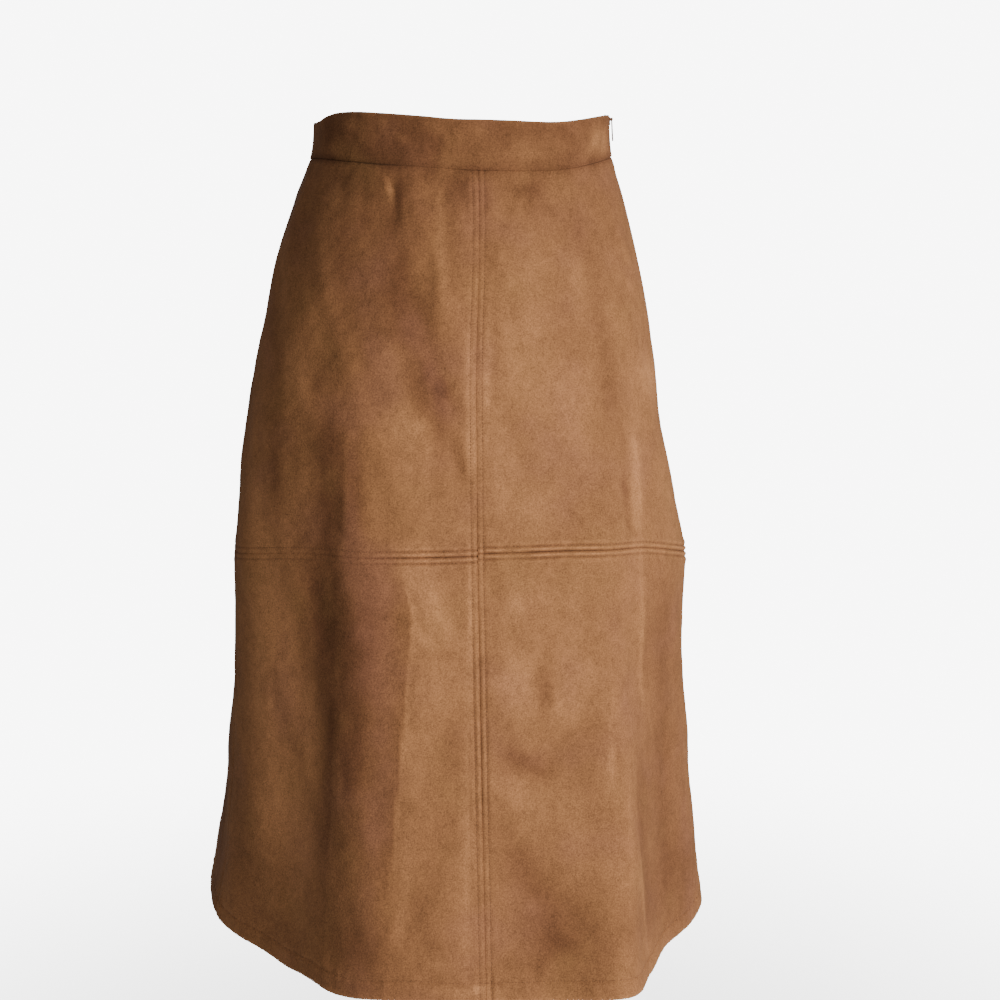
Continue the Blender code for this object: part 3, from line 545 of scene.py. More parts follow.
# Ridges (+) and troughs (-) beside a sewn line: size, share of the stitch margin and
# distance past it where it lies, half width, and how far the take-up changes it.
SEAM_RIDGES = table((
    (-0.60, 0, 0, 1.4, 0), (0.60, 52, 0, 1.65, 50), (-0.52, 100, 0, 1.2, 30), (0.58, 100, 3.6, 2.8, 60),
), MM, PERCENT, MM, MM, PERCENT)
HEM_RIDGES = table(((-0.572, 0, 0, 1.2, 40), (0.5, 0, 4, 3, 60)), MM, PERCENT, MM, MM, PERCENT)
# The same for painted shade, dark in the grooves, and painted highlights, light on the welts.
SEAM_SHADE_AND_HIGHLIGHT = table((
    (-85, 0, 0, 1.0, 0), (55, 50, 0, 1.4, 60), (-50, 100, 0, 1.1, 50), (22, 100, 2.6, 1.8, 0),
), PERCENT, PERCENT, MM, MM, PERCENT)

SEAM_ROLL = 0.0006
SIDE_ROLL = 0.0011
WAIST_ROLL = 0.0014
BAND_ROLL = 0.0012
HEM_ROLL = 0.0014
ZIP_ROLL = 0.0018
SEAM_LEAST_ROLL = 0.35
WAIST_LEAST_ROLL = 0.15
PUCKER_HEIGHT = 0.00016
PUCKER_WIDTH = 0.0045
CENTRE_RELIEF = 0.55
# Share of the seams' painted shade and highlights down the front.
CENTRE_SHADE_AND_HIGHLIGHT = 0.45
MID_RELIEF = 1.3
SIDE_SINK = 0.0004
SIDE_SINK_WIDTH = 0.004
SIDE_UNEVEN = 0.6
WAIST_SINK = 0.0004
WAIST_SINK_WIDTH = 0.003
WAIST_PUFF = 0.0005
WAIST_PUFF_AWAY = 0.008
WAIST_PUFF_WIDTH = 0.005
WAIST_UNEVEN = 0.5
WAIST_PUCKER = 0.00022
WAIST_PUCKER_WIDTH = 0.009
BAND_PROUD = 0.0005
BAND_SOFTNESS = 0.35
BAND_SOFT_TO = 0.02
BAND_WAVE = 0.0003
BAND_WAVE_WIDTH = 0.006
HEM_STEP = 0.0006
HEM_STEP_HALF = 0.004
HEM_PUCKER = 0.0006
HEM_PUCKER_AWAY = 0.004
HEM_PUCKER_WIDTH = 0.011
ZIP_NEAR = 7.0
ZIP_FADE = 0.03


def rolled(away, radius):
    """Depth of an edge rounded over a radius, at a distance from it."""
    return radius * (1.0 - np.sqrt(1.0 - np.clip(1.0 - away / radius, 0.0, 1.0) ** 2))


def beside(away, along, margin, rows):
    """Sum of the ridges and troughs that a table gives beside a sewn line."""
    uneven = wavy(along, TAKE_UP)
    return sum(size * hump(away - margin * share - past, width) * (1.0 + change * uneven)
               for size, share, past, width, change in rows)


def stitched_seam(away, along, margin, show):
    """Two sewn edges with a row of stitches a margin away on each side."""
    pucker = wavy(along, PUCKER) * hump(away - margin, PUCKER_WIDTH) * PUCKER_HEIGHT
    roll = SEAM_ROLL * (SEAM_LEAST_ROLL + (1.0 - SEAM_LEAST_ROLL) * show)
    return (beside(away, along, margin, SEAM_RIDGES) + pucker) * show - rolled(away, roll)


def plain_seam(away, along, roll):
    """Two sewn edges with no stitches outside."""
    sunk = hump(away, SIDE_SINK_WIDTH) * SIDE_SINK * (1.0 + SIDE_UNEVEN * wavy(along, TAKE_UP))
    return -rolled(away, roll) - sunk


def waist_seam(place):
    """The band's lower edge, which stands proud, and the skirt's edge that rolls in under it."""
    away = np.abs(place.below_waist)
    show = line_run(WAIST_SHOW, place.angle)
    roll = rolled(away, WAIST_ROLL * (WAIST_LEAST_ROLL + (1.0 - WAIST_LEAST_ROLL) * show))
    sunk = WAIST_SINK * show * hump(away, WAIST_SINK_WIDTH)
    puff = WAIST_PUFF * hump(away - WAIST_PUFF_AWAY, WAIST_PUFF_WIDTH)
    pucker = WAIST_PUCKER * wavy(place.around, PUCKER) * hump(away, WAIST_PUCKER_WIDTH)
    skirt_side = (puff - sunk) * (1.0 + WAIST_UNEVEN * wavy(place.around, TAKE_UP)) + pucker
    return np.where(place.on_band, BAND_PROUD, skirt_side) - roll


def hem_edge(place, sizes):
    """The turned-up hem: a soft step at its stitches, their groove and its puckers."""
    to_stitch = place.from_hem - sizes.hem_stitch
    step = HEM_STEP * smooth_step(HEM_STEP_HALF, -HEM_STEP_HALF, to_stitch)
    groove = beside(to_stitch, place.around, 0.0, HEM_RIDGES)
    pucker = HEM_PUCKER * hump(to_stitch + HEM_PUCKER_AWAY, HEM_PUCKER_WIDTH)
    pucker = pucker * wavy(place.around, PUCKER + TAKE_UP)
    return step + groove + pucker - rolled(place.from_hem, HEM_ROLL)


def relief(place, sizes):
    """Height of the finished outer face over the plain one."""
    softness = BAND_SOFTNESS + (1.0 - BAND_SOFTNESS) * smooth_step(0.0, BAND_SOFT_TO, place.below_waist)
    past_zip = smooth_step(ZIP_LENGTH, ZIP_LENGTH + ZIP_FADE, place.drop)
    by_zip = hump(place.turn - SIDE_SEAM, ZIP_NEAR) * (1.0 - past_zip)
    height = (place.swell * softness + place.crease * sizes.crease_strength) * (1.0 - by_zip)

    show = CENTRE_RELIEF * centre_show(place.drop)
    centre = stitched_seam(place.from_centre, place.drop, sizes.stitch_margin, show)
    height = height + np.where(place.by_centre, centre, 0.0)
    show = MID_RELIEF * line_run(MID_SHOW, place.angle)
    height = height + stitched_seam(place.from_mid, place.around, sizes.stitch_margin, show)
    zipped = (place.turn > 0.0) & (place.drop < ZIP_LENGTH)
    height = height + plain_seam(place.from_side, place.drop, np.where(zipped, ZIP_ROLL, SIDE_ROLL))

    band_wave = BAND_WAVE * wavy(place.around, TAKE_UP) * hump(place.from_top, BAND_WAVE_WIDTH)
    height = height + waist_seam(place) - rolled(place.from_top, BAND_ROLL)
    return height - np.where(place.on_band, band_wave, 0.0) + hem_edge(place, sizes)


# ------------------------------------------------------------------ thickness, nap and painted light and shade

ALLOWANCE_EXTRA = 0.0011
TURN_UP_SHARE = 1.4
# Where the cloth thickens, from before to past the edge of an allowance and of the turn-up.
ALLOWANCE_STEP = (-0.0006, 0.0002)
TURN_UP_STEP = (-0.0004, 0.0006)
DOUBLED_FROM = 0.0005

# Painted shade and highlights in the pile's colour: the waistband and the cloth under it darker, as the top
# gets less light; the side away from the key light darker; a painted shadow under the band's lower edge; a
# painted highlight along the top edge's roll; lighter along the hem's edge.
BAND_SHADE = -0.75
BAND_TOP_SHADE = -0.12
BAND_TOP_WIDTH = 0.014
UNDER_BAND_SHADE = -0.50
UNDER_REACH = 0.11
SIDE_SHADE = -0.85
SIDE_SHADE_AT = -92.0
SIDE_SHADE_WIDTH = 11.0
SIDE_SHADE_FROM = 0.02
BAND_EDGE_SHADOW = -0.60
BAND_EDGE_SHADOW_WIDTH = 0.0036
TOP_EDGE_HIGHLIGHT = 0.55
TOP_EDGE_HIGHLIGHT_WIDTH = 0.0016
HEM_EDGE_LIGHTER = 0.45
HEM_EDGE_LIGHTER_WIDTH = 0.0022
MARK_FALL = 2.4


def wall(place, sizes):
    """Thickness of the cloth, with its pressed seam allowances and the turned-up hem."""
    nearest = np.minimum(np.minimum(place.from_side, place.from_mid), place.from_centre)
    single = smooth_step(*(sizes.allowance + step for step in ALLOWANCE_STEP), nearest)
    above_hem = smooth_step(*(HEM_TURN_UP + step for step in TURN_UP_STEP), place.from_hem)
    doubled = np.maximum(1.0 - single, (1.0 - above_hem) * TURN_UP_SHARE)
    return np.where(place.on_band, sizes.band_cloth, sizes.cloth + ALLOWANCE_EXTRA * doubled)


def marked(angle, drop, marks):
    """Sum of soft marks at each place: the nap's marks with their painted light and shade, and the rosy
    patches.
    """
    total = np.zeros_like(angle)
    for at_angle, at_drop, width, length, lean, strength in marks:
        along, across = on_stroke(angle, drop, at_angle, at_drop, lean)
        away = np.abs(across / width) ** MARK_FALL + np.abs(along / length) ** MARK_FALL
        total = total + strength * np.exp(-away)
    return total


def painted_light_and_shade(place, sizes):
    """Painted light and shade: darker on the waistband, under it and on the side away from the light;
    painted shade in the seams and under the band's edge; painted highlights on welts and top edge.
    """
    margin = sizes.stitch_margin
    mid = beside(place.from_mid, place.around, margin, SEAM_SHADE_AND_HIGHLIGHT) * line_run(MID_SHOW, place.angle)
    centre = beside(place.from_centre, place.drop, margin, SEAM_SHADE_AND_HIGHLIGHT) * CENTRE_SHADE_AND_HIGHLIGHT * centre_show(place.drop)
    seam_shade_and_highlight = mid + np.where(place.by_centre, centre, 0.0)
    shadow_under_band_edge = BAND_EDGE_SHADOW * hump(place.below_waist, BAND_EDGE_SHADOW_WIDTH) * line_run(WAIST_SHOW, place.angle)
    shade_of_band = BAND_SHADE + BAND_TOP_SHADE * hump(place.drop, BAND_TOP_WIDTH)
    shade_under_band = UNDER_BAND_SHADE * (1.0 - smooth_step(0.0, UNDER_REACH, place.below_waist))
    side = SIDE_SHADE * hump(turned(place.angle - SIDE_SHADE_AT), SIDE_SHADE_WIDTH)
    side = side * smooth_step(BAND_HEIGHT, BAND_HEIGHT + SIDE_SHADE_FROM, place.drop)
    wear_and_highlight = TOP_EDGE_HIGHLIGHT * hump(place.from_top, TOP_EDGE_HIGHLIGHT_WIDTH) + HEM_EDGE_LIGHTER * hump(place.from_hem, HEM_EDGE_LIGHTER_WIDTH)
    return np.where(place.on_band, shade_of_band, shade_under_band) + side + seam_shade_and_highlight + shadow_under_band_edge + wear_and_highlight


def painted_fold_edges(angle, drop):
    """Painted light and shade along fold edges: one clear edge, fading away from it."""
    total = np.zeros_like(angle)
    for points, fade, strength, soft in FOLD_EDGE_LIGHT:
        at_angle, at_drop = np.array(table(points, 1, MM)).T
        away = np.radians(turned(angle - np.interp(drop, at_drop, at_angle))) * MEAN_RADIUS
        ends = smooth_step(at_drop[0], at_drop[0] + EDGE_TAPER, drop)
        ends = ends * smooth_step(at_drop[-1], at_drop[-1] - EDGE_TAPER, drop)
        over = smooth_step(-soft / MM, soft / MM, away)
        painted_edge_light = over * np.exp(-np.maximum(away, 0.0) / (fade / MM))
        painted_shade_beside = (1.0 - over) * np.exp(np.minimum(away, 0.0) / SHADE_BESIDE_WIDTH)
        total = total + strength / PERCENT * ends * (painted_edge_light - SHADE_BESIDE_SHARE * painted_shade_beside)
    return total


# ------------------------------------------------------------------ shells of cloth

# Distances from a sewn edge at which the shell has a row or column of points.
EDGE_STEPS = in_mm(0, 0.12, 0.4, 0.8, 1.2, 1.8, 2.6, 3.5, 4.2, 4.8, 5.2, 5.6, 6, 6.5, 7.2, 8.2, 9.4, 10.1,
                   11, 13)
BAND_STEPS = in_mm(0, 0.12, 0.4, 0.8, 1.2, 1.8, 2.6, 4)
HEM_STEPS = in_mm(0, 0.14, 0.5, 1, 1.4, 2.2, 4, 6.5, 9, 11.2, 12.6, 13.6, 14.4, 15, 15.6, 16.3, 17.2, 18.4,
                  20.2, 22.6, 25, 26.4, 26.8, 27.3, 28.5, 31)
BAND_ROWS_CLOSER = 0.6
COLUMN_RADIUS = 0.19
SEWN_GAP = -0.00002
ZIP_GAP = 0.0004
ZIP_GAP_TAPER = 0.006
SLIDER_GAP = 0.0014
SLIDER_FROM = 0.0025
SLIDER_TO = 0.0150
SLIDER_TAPER_UP = 0.002
SLIDER_TAPER_DOWN = 0.004

INSIDE_SOFTNESS = 0.6
ZIP_STIFF_PAST = 0.01
THINNEST = 0.0004
# Share of the nap's marks and painted light and shade that the inner face gets.
INSIDE_NAP_AND_SHADE = 0.3
SHARP_EDGE = 55.0


def spread(start, end, near_start, near_end, spacing):
    """Places from start to end: close together by each edge and even between."""
    first = start + np.array(near_start)
    last = end - np.array(near_end)[::-1]
    steps = max(2, round((last[0] - first[-1]) / spacing))
    return np.concatenate([first, np.linspace(first[-1], last[0], steps + 1)[1:-1], last])


def half_gap(seam_angle, drop):
    """Half the space at a seam, in degrees: a little wider along the zip and its slider."""
    gap = np.full_like(drop, SEWN_GAP)
    if abs(seam_angle - SIDE_SEAM) < 1.0:
        zipped = smooth_step(ZIP_LENGTH, ZIP_LENGTH - ZIP_GAP_TAPER, drop)
        slider = smooth_step(SLIDER_FROM - SLIDER_TAPER_UP, SLIDER_FROM, drop)
        slider = slider * (1.0 - smooth_step(SLIDER_TO, SLIDER_TO + SLIDER_TAPER_DOWN, drop))
        gap = gap + (ZIP_GAP - SEWN_GAP) * zipped + (SLIDER_GAP - ZIP_GAP) * slider
    return np.degrees(gap / 2 / radius_at(np.full_like(drop, seam_angle), drop))


def edge_angles(drop, edge, towards, steps):
    """Angles at each distance from a seam, for each row, on the side it is reached from."""
    start = edge + towards * half_gap(float(turned(edge[-1])), drop)
    return start[:, None] + towards * np.degrees(np.array(steps)[None, :] / radius_at(edge, drop)[:, None])


def shell_grid(edges, rows, runs, mesh_step, steps):
    """Angle and drop of every point of a piece between two seams and two lines."""
    first = edge_angles(rows, edges[0](rows), 1.0, steps)
    last = edge_angles(rows, edges[1](rows), -1.0, steps)[:, ::-1]
    arc = np.radians(last[:, 0] - first[:, -1]).mean() * COLUMN_RADIUS
    between = np.linspace(0.0, 1.0, max(3, round(arc / mesh_step)) + 1)[None, 1:-1]
    middle = first[:, -1:] + (last[:, :1] - first[:, -1:]) * between
    angle = np.concatenate([first, middle, last], axis=1)
    share = ((rows - rows[0]) / (rows[-1] - rows[0]))[:, None]
    return angle, rows[:, None] + line_run(runs[0], angle) * (1.0 - share) + line_run(runs[1], angle) * share


def added(name, data):
    """A new object in the scene."""
    made = bpy.data.objects.new(name, data)
    bpy.context.scene.collection.objects.link(made)
    return made


def smooth_mesh(name, points, faces, looks):
    """A smooth mesh with its materials."""
    mesh = bpy.data.meshes.new(name)
    mesh.from_pydata(points.tolist(), [], faces.tolist())
    for look in looks:
        mesh.materials.append(look)
    mesh.update()
    mesh.shade_smooth()
    return mesh


def sheet_shell(name, angle, drop, sizes, looks):
    """One closed shell of cloth, with the nap's marks and painted light and shade stored on its points."""
    place = Place(angle, drop)
    plain, normal = cloth_point(angle, drop), cloth_normal(angle, drop)
    raised, thickness = relief(place, sizes), wall(place, sizes)
    by_zip = hump(place.turn - SIDE_SEAM, ZIP_NEAR) * (drop < ZIP_LENGTH + ZIP_STIFF_PAST)
    soft = (place.swell + place.crease * sizes.crease_strength) * INSIDE_SOFTNESS * (1.0 - by_zip)
    inner = plain - normal * np.maximum(thickness - soft, THINNEST - raised)[..., None]
    points = np.concatenate([(plain + normal * raised[..., None]).reshape(-1, 3), inner.reshape(-1, 3)])

    back = angle.size
    index = np.arange(back).reshape(angle.shape)
    quads = np.stack([index[:-1, :-1], index[1:, :-1], index[1:, 1:], index[:-1, 1:]], axis=-1).reshape(-1, 4)
    rims = []
    for line, step in ((index[0], 1), (index[-1], -1), (index[:, 0], -1), (index[:, -1], 1)):
        a, b = (line[:-1], line[1:]) if step > 0 else (line[1:], line[:-1])
        rims.append(np.stack([a, b, back + b, back + a], axis=-1))
    faces = np.concatenate([quads, back + quads[:, ::-1], *rims])
    # The inner face shows the suede side on allowances, turn-up and waistband.
    doubled = thickness > sizes.cloth + DOUBLED_FROM
    slots = np.zeros(len(faces), np.int32)
    slots[len(quads):2 * len(quads)] = ~(doubled[:-1, :-1] & doubled[1:, 1:]).reshape(-1)

    mesh = smooth_mesh(name, points, faces, looks)
    mesh.polygons.foreach_set("material_index", slots)
    # The nap's own marks, with the painted light and shade of folds, fold edges, seams and the band.
    nap_and_shade = marked(angle, drop, NAP_AND_SHADE_MARKS) + painted_fold_edges(angle, drop) + painted_light_and_shade(place, sizes)
    for label, value in (("nap_and_shade", nap_and_shade.reshape(-1)), ("rosy", marked(angle, drop, ROSY_MARKS).reshape(-1))):
        stored = mesh.attributes.new(label, "FLOAT", "POINT")
        stored.data.foreach_set("value", np.concatenate([value, value * INSIDE_NAP_AND_SHADE]).astype(np.float32))
    mesh.set_sharp_from_angle(angle=math.radians(SHARP_EDGE))
    return added(name, mesh)


def flat_cut(angle, drop):
    """Width and length of the cut piece, and its area, measured over the plain surface."""
    points = cloth_point(angle, drop)
    down = np.linalg.norm(np.diff(points, axis=0), axis=2)
    across = np.linalg.norm(np.diff(points, axis=1), axis=2).sum(axis=1)
    area = float(((across[1:] + across[:-1]) / 2 * down.mean(axis=1)).sum())
    width, length = float(across.max()), float(down.sum(axis=0).max())
    return (width, length), min(area, width * length)


def side_edge(angle):
    """The edge along a side seam: its angle in each row."""
    return lambda rows: np.full_like(rows, angle)


RIGHT_EDGE = side_edge(-SIDE_SEAM)
LEFT_EDGE = side_edge(SIDE_SEAM)
# The zipped seam as the back reaches it, one turn lower.
LEFT_EDGE_BEHIND = side_edge(SIDE_SEAM - 360.0)


def cut_piece(name, node, edges, rows, runs, steps, context):
    """Builds one cut piece over its solid, and gives it with its flat size and area."""
    sizes = context.scene.skirt_sizes
    angle, drop = shell_grid(edges, rows, runs, sizes.mesh_step, steps)
    made = sheet_shell(name, angle, drop, sizes, cloth_looks(context.scene.skirt_colours))
    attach(made, "skirt")
    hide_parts(node)
    return made, *flat_cut(angle, drop)


def hung_panel(name, edges, half, context):
    """Builds one panel of the upper or the lower half."""
    step = context.scene.skirt_sizes.mesh_step
    if half == "upper":
        rows = spread(BAND_HEIGHT + SEWN_GAP / 2, MID_SEAM - SEWN_GAP / 2, EDGE_STEPS, EDGE_STEPS, step)
        runs = (WAIST_RUN, MID_RUN)
    else:
        rows = spread(MID_SEAM + SEWN_GAP / 2, LENGTH, EDGE_STEPS, HEM_STEPS, step)
        runs = (MID_RUN, HEM_RUN)
    made, flat, area = cut_piece(name + "_shell", name, edges, rows, runs, EDGE_STEPS, context)


# ------------------------------------------------------------------ stitches

# Share of the length and of the radius at each ring of a stitch.
STITCH_RINGS = ((0.0, 0.0), (0.10, 0.62), (0.30, 1.0), (0.70, 1.0), (0.90, 0.62), (1.0, 0.0))
STITCH_LIFT = 0.35
STITCH_DIP = 1.3
TUBE_SIDES = 6
ROW_ENDS = 0.001
CUT_ENDS = 0.25
WAIST_CLEAR = 0.0005
DOWN_POINTS = 400
PANEL_POINTS = 300
HEM_POINTS = 1200


def even_steps(angle, drop, pitch):
    """The same line, with its points a stitch apart."""
    points = cloth_point(angle, drop)
    run = np.concatenate([[0.0], np.cumsum(np.linalg.norm(np.diff(points, axis=0), axis=1))])
    at = np.arange(pitch / 2, run[-1], pitch)
    return np.interp(at, run, angle), np.interp(at, run, drop)


def small_tubes(middle, along, out, rings, lifts, length, radius):
    """Points and triangles of a row of short closed tubes, one about each middle point."""
    across = np.cross(along, out)
    turns = np.arange(TUBE_SIDES) / TUBE_SIDES * math.tau
    ring = across[:, None, :] * np.cos(turns)[None, :, None] + out[:, None, :] * np.sin(turns)[None, :, None]
    verts = []
    for (share, size), lift in zip(rings, lifts):
        centre = (middle + along * (share - 0.5) * length + out * lift)[:, None, :]
        verts.append(centre + ring * radius * size if size else centre)
    one = np.concatenate(verts, axis=1)
    count, size = one.shape[:2]
    last = 1 + (len(rings) - 3) * TUBE_SIDES
    pattern = []
    for here in range(TUBE_SIDES):
        near = (here + 1) % TUBE_SIDES
        pattern.append((0, 1 + here, 1 + near))
        for low in range(1, last, TUBE_SIDES):
            high = low + TUBE_SIDES
            pattern += [(low + here, high + near, low + near), (low + here, high + here, high + near)]
        pattern.append((size - 1, last + near, last + here))
    faces = np.array(pattern)[None] + (np.arange(count) * size)[:, None, None]
    return one.reshape(-1, 3), faces.reshape(-1, 3)


def stitch_row(angle, drop, sizes):
    """Points and triangles of a row of separate stitches along a line on the cloth."""
    at = even_steps(angle, drop, sizes.stitch_pitch)
    plain, normal = cloth_point(*at), cloth_normal(*at)
    middle = plain + normal * relief(Place(*at), sizes)[..., None]
    along = unit(np.gradient(plain, axis=0))
    normal = unit(normal - along * (normal * along).sum(axis=1, keepdims=True))
    radius = sizes.thread_radius
    lifts = [radius * (STITCH_LIFT - STITCH_DIP * (2.0 * share - 1.0) ** 4) for share, _size in STITCH_RINGS]
    return small_tubes(middle, along, normal, STITCH_RINGS, lifts, sizes.stitch_length, radius)


def joined(name, parts, look):
    """One object from several lists of points and triangles."""
    starts = np.cumsum([0] + [len(points) for points, _faces in parts])
    faces = np.concatenate([faces + start for (_points, faces), start in zip(parts, starts)])
    return added(name, smooth_mesh(name, np.concatenate([points for points, _faces in parts]), faces, [look]))


def stitch_lines(sizes):
    """Angle and drop along every visible row of stitches, by the name of its seam."""
    margin = sizes.stitch_margin
    drops = np.linspace(BAND_HEIGHT + ROW_ENDS, LENGTH - ROW_ENDS, DOWN_POINTS)
    centre = centre_seam(drops)
    aside = np.degrees(margin / radius_at(centre, drops))
    below = drops > BAND_HEIGHT + line_run(WAIST_RUN, centre) + WAIST_CLEAR
    middle = []
    for start, end in ((-SIDE_SEAM, 0.0), (0.0, SIDE_SEAM), (SIDE_SEAM, 360.0 - SIDE_SEAM)):
        angle = np.linspace(start + CUT_ENDS, end - CUT_ENDS, PANEL_POINTS)
        level = MID_SEAM + line_run(MID_RUN, angle)
        middle += [(angle, level - margin), (angle, level + margin)]
    angle = np.linspace(-SIDE_SEAM, 360.0 - SIDE_SEAM, HEM_POINTS)
    return {"centre": [((centre + way * aside)[below], drops[below]) for way in (-1, 1)],
            "middle": middle,
            "hem": [(angle, LENGTH + line_run(HEM_RUN, angle) - sizes.hem_stitch)]}


# ------------------------------------------------------------------ shader helpers

class Wire:
    """An output socket. Arithmetic on it adds Math nodes to its tree."""

    def __init__(self, tree, socket):
        self.tree = tree
        self.socket = socket

    def _math(self, operation, first, second):
        return add_node(self.tree, "ShaderNodeMath", {"operation": operation}, {0: first, 1: second})

    def __add__(self, other):
        return self._math("ADD", self, other)

    def __radd__(self, other):
        return self._math("ADD", other, self)

    def __sub__(self, other):
        return self._math("SUBTRACT", self, other)

    def __rsub__(self, other):
        return self._math("SUBTRACT", other, self)

    def __mul__(self, other):
        return self._math("MULTIPLY", self, other)

    def __rmul__(self, other):
        return self._math("MULTIPLY", other, self)


def add_node(tree, kind, settings, sockets, output=0):
    """Adds a node: its settings first, then the value or link of each socket."""
    node = tree.nodes.new(kind)
    for name, value in settings.items():
        setattr(node, name, value)
    for name, value in sockets.items():
        if isinstance(value, Wire):
            tree.links.new(value.socket, node.inputs[name])
        else:
            node.inputs[name].default_value = value
    return Wire(tree, node.outputs[output])


def toned(colour, share=1.0):
    """A colour made lighter or darker by a share, with its alpha."""
    return (colour[0] * share, colour[1] * share, colour[2] * share, 1.0)


class Look:
    """A material in the making: its steady values, its nodes and the place of each point."""

    def __init__(self, name, steady):
        self.material = bpy.data.materials.new(name)
        self.material.use_nodes = True
        self.tree = self.material.node_tree
        self.shader = self.tree.nodes["Principled BSDF"]
        for socket, value in steady.items():
            self.shader.inputs[socket].default_value = value
        self.where = self.add("ShaderNodeTexCoord", {}, {}, output=3)

    def add(self, kind, settings, sockets, output=0):
        return add_node(self.tree, kind, settings, sockets, output)

    def stored(self, name):
        """A value kept on the points of the cloth."""
        return self.add("ShaderNodeAttribute", {"attribute_name": name}, {}, output=2)

    def noise(self, scale, detail=2.0, roughness=0.5, down=1.0, swirl=0.0):
        """Soft random value about a half, at so many grains to a metre, fewer of them down."""
        where = self.where
        if down != 1.0:
            where = self.add("ShaderNodeVectorMath", {"operation": "MULTIPLY"},
                             {0: where, 1: (1.0, 1.0, down)})
        return self.add("ShaderNodeTexNoise", {"noise_dimensions": "3D"}, {
            "Vector": where, "Scale": scale, "Detail": detail, "Roughness": roughness, "Distortion": swirl})

    def ribs(self, direction, scale, distortion, **finer):
        """Even ribs, at so many to a length."""
        return self.add("ShaderNodeTexWave", {"wave_type": "BANDS", "bands_direction": direction},
                        {"Vector": self.where, "Scale": scale, "Distortion": distortion, **finer})

    def ranged(self, value, low, high, curve="SMOOTHSTEP"):
        """A value mapped from low..high to 0..1, with soft ends unless the curve is LINEAR."""
        return self.add("ShaderNodeMapRange", {"interpolation_type": curve, "clamp": True},
                        {"Value": value, "From Min": low, "From Max": high})

    def blend(self, share, first, second):
        """Colour between two others."""
        return self.add("ShaderNodeMix", {"data_type": "RGBA", "clamp_factor": True},
                        {0: share, 6: first, 7: second}, output=2)

    def plug(self, socket, wire):
        self.tree.links.new(wire.socket, self.shader.inputs[socket])

    def bump(self, height, distance, strength):
        """Feeds a height to the shader's normal."""
        self.plug("Normal", self.add("ShaderNodeBump", {}, {
            "Strength": strength, "Distance": distance, "Height": height}))


# ------------------------------------------------------------------ finishes

# Grains of the suede, each as grains to a metre, detail, roughness, stretch down, swirl.
SUEDE_GRAINS = {
    "broad": (7.0, 2.0, 0.5, 0.7, 0.0),
    "patch": (30.0, 4.0, 0.6, 0.85, 0.6),
    "brush": (130.0, 3.0, 0.65, 0.8, 0.8),
    "grain": (760.0, 2.0, 0.7, 1.0, 0.0),
    "fleck": (62.0, 4.0, 0.7, 0.9, 0.5),
    "scuff": (74.0, 4.0, 0.7, 0.8, 0.5),
    "hue": (17.0, 2.0, 0.5, 1.0, 0.0),
    "pile": (1500.0, 2.0, 0.6, 1.0, 0.0),
}
# How much the grains lighten and darken the suede.
PATCH_DEPTH = 0.26
BRUSH_DEPTH = 0.52
GRAIN_DEPTH = 1.55
FLECK_LIGHT = 0.06
SCUFF_DARK = 0.07


def suede_look(colours):
    """Brushed pile: light and dark strokes with painted light and shade of folds and seams, pinker
    and yellower patches, a soft sheen.
    """
    look = Look("suede_pile", {
        "Roughness": 0.92, "Specular IOR Level": 0.12, "Sheen Weight": 0.05, "Sheen Roughness": 0.55,
        "Sheen Tint": (1.0, 0.80, 0.62, 1.0)})
    nap_and_shade, rosy = look.stored("nap_and_shade"), look.stored("rosy")
    broad, patch, brush, grain, fleck, scuff, hue, pile = (look.noise(*row) for row in SUEDE_GRAINS.values())
    # The lie carries the painted light and shade stored on the cloth as well as the pile's own tone.
    lie_and_shade = 0.5 + (broad - 0.5) * 0.24 + (patch - 0.5) * 0.16 + nap_and_shade * colours.nap_and_shade_strength
    colour = toned(colours.suede_shade)
    for low, tone in ((-0.5, colours.suede_deep), (0.0, colours.suede_mid), (0.5, colours.suede_light)):
        colour = look.blend(look.ranged(lie_and_shade, low, low + 0.5, "LINEAR"), colour, toned(tone))
    pink = look.ranged(hue * 1.2 + rosy * 0.35, 0.55, 1.05)
    colour = look.blend(pink * 0.55, colour, toned(colours.suede_rosy))
    gold = look.ranged((1.0 - hue) * 1.2 - rosy * 0.35, 0.60, 1.10)
    colour = look.blend(gold * 0.45, colour, toned(colours.suede_gold))
    speckle = 1.0 + (patch - 0.5) * PATCH_DEPTH + (brush - 0.5) * BRUSH_DEPTH + (grain - 0.5) * GRAIN_DEPTH
    speckle = speckle + look.ranged(fleck, 0.52, 0.68) * FLECK_LIGHT
    speckle = speckle - look.ranged(scuff, 0.50, 0.64) * SCUFF_DARK
    speckled = look.add("ShaderNodeVectorMath", {"operation": "SCALE"}, {0: colour, "Scale": speckle})
    look.plug("Base Color", speckled)
    look.plug("Roughness", 0.97 - brush * 0.14)
    look.bump(pile * 0.35 + grain * 0.45 + brush * 0.8, 0.0007, 0.55)
    return look.material


def backing_look(colours):
    """Fine knitted reverse of the cloth."""
    look = Look("suede_backing", {"Roughness": 0.95, "Specular IOR Level": 0.10})
    loops = look.ribs("Z", 190.0, 2.2, **{"Detail": 2.0, "Detail Scale": 3.0})
    tone = look.ranged(look.noise(30.0, 3.0, 0.55) * 0.75 + loops * 0.25, 0.25, 0.75)
    look.plug("Base Color", look.blend(tone, toned(colours.backing, 0.78), toned(colours.backing)))
    look.bump(loops, 0.0002, 0.6)
    return look.material


def cloth_looks(colours):
    """Suede outside and backing inside, made once and shared by every piece."""
    found = [bpy.data.materials.get(name) for name in ("suede_pile", "suede_backing")]
    if None in found:
        found = [suede_look(colours), backing_look(colours)]
    return found


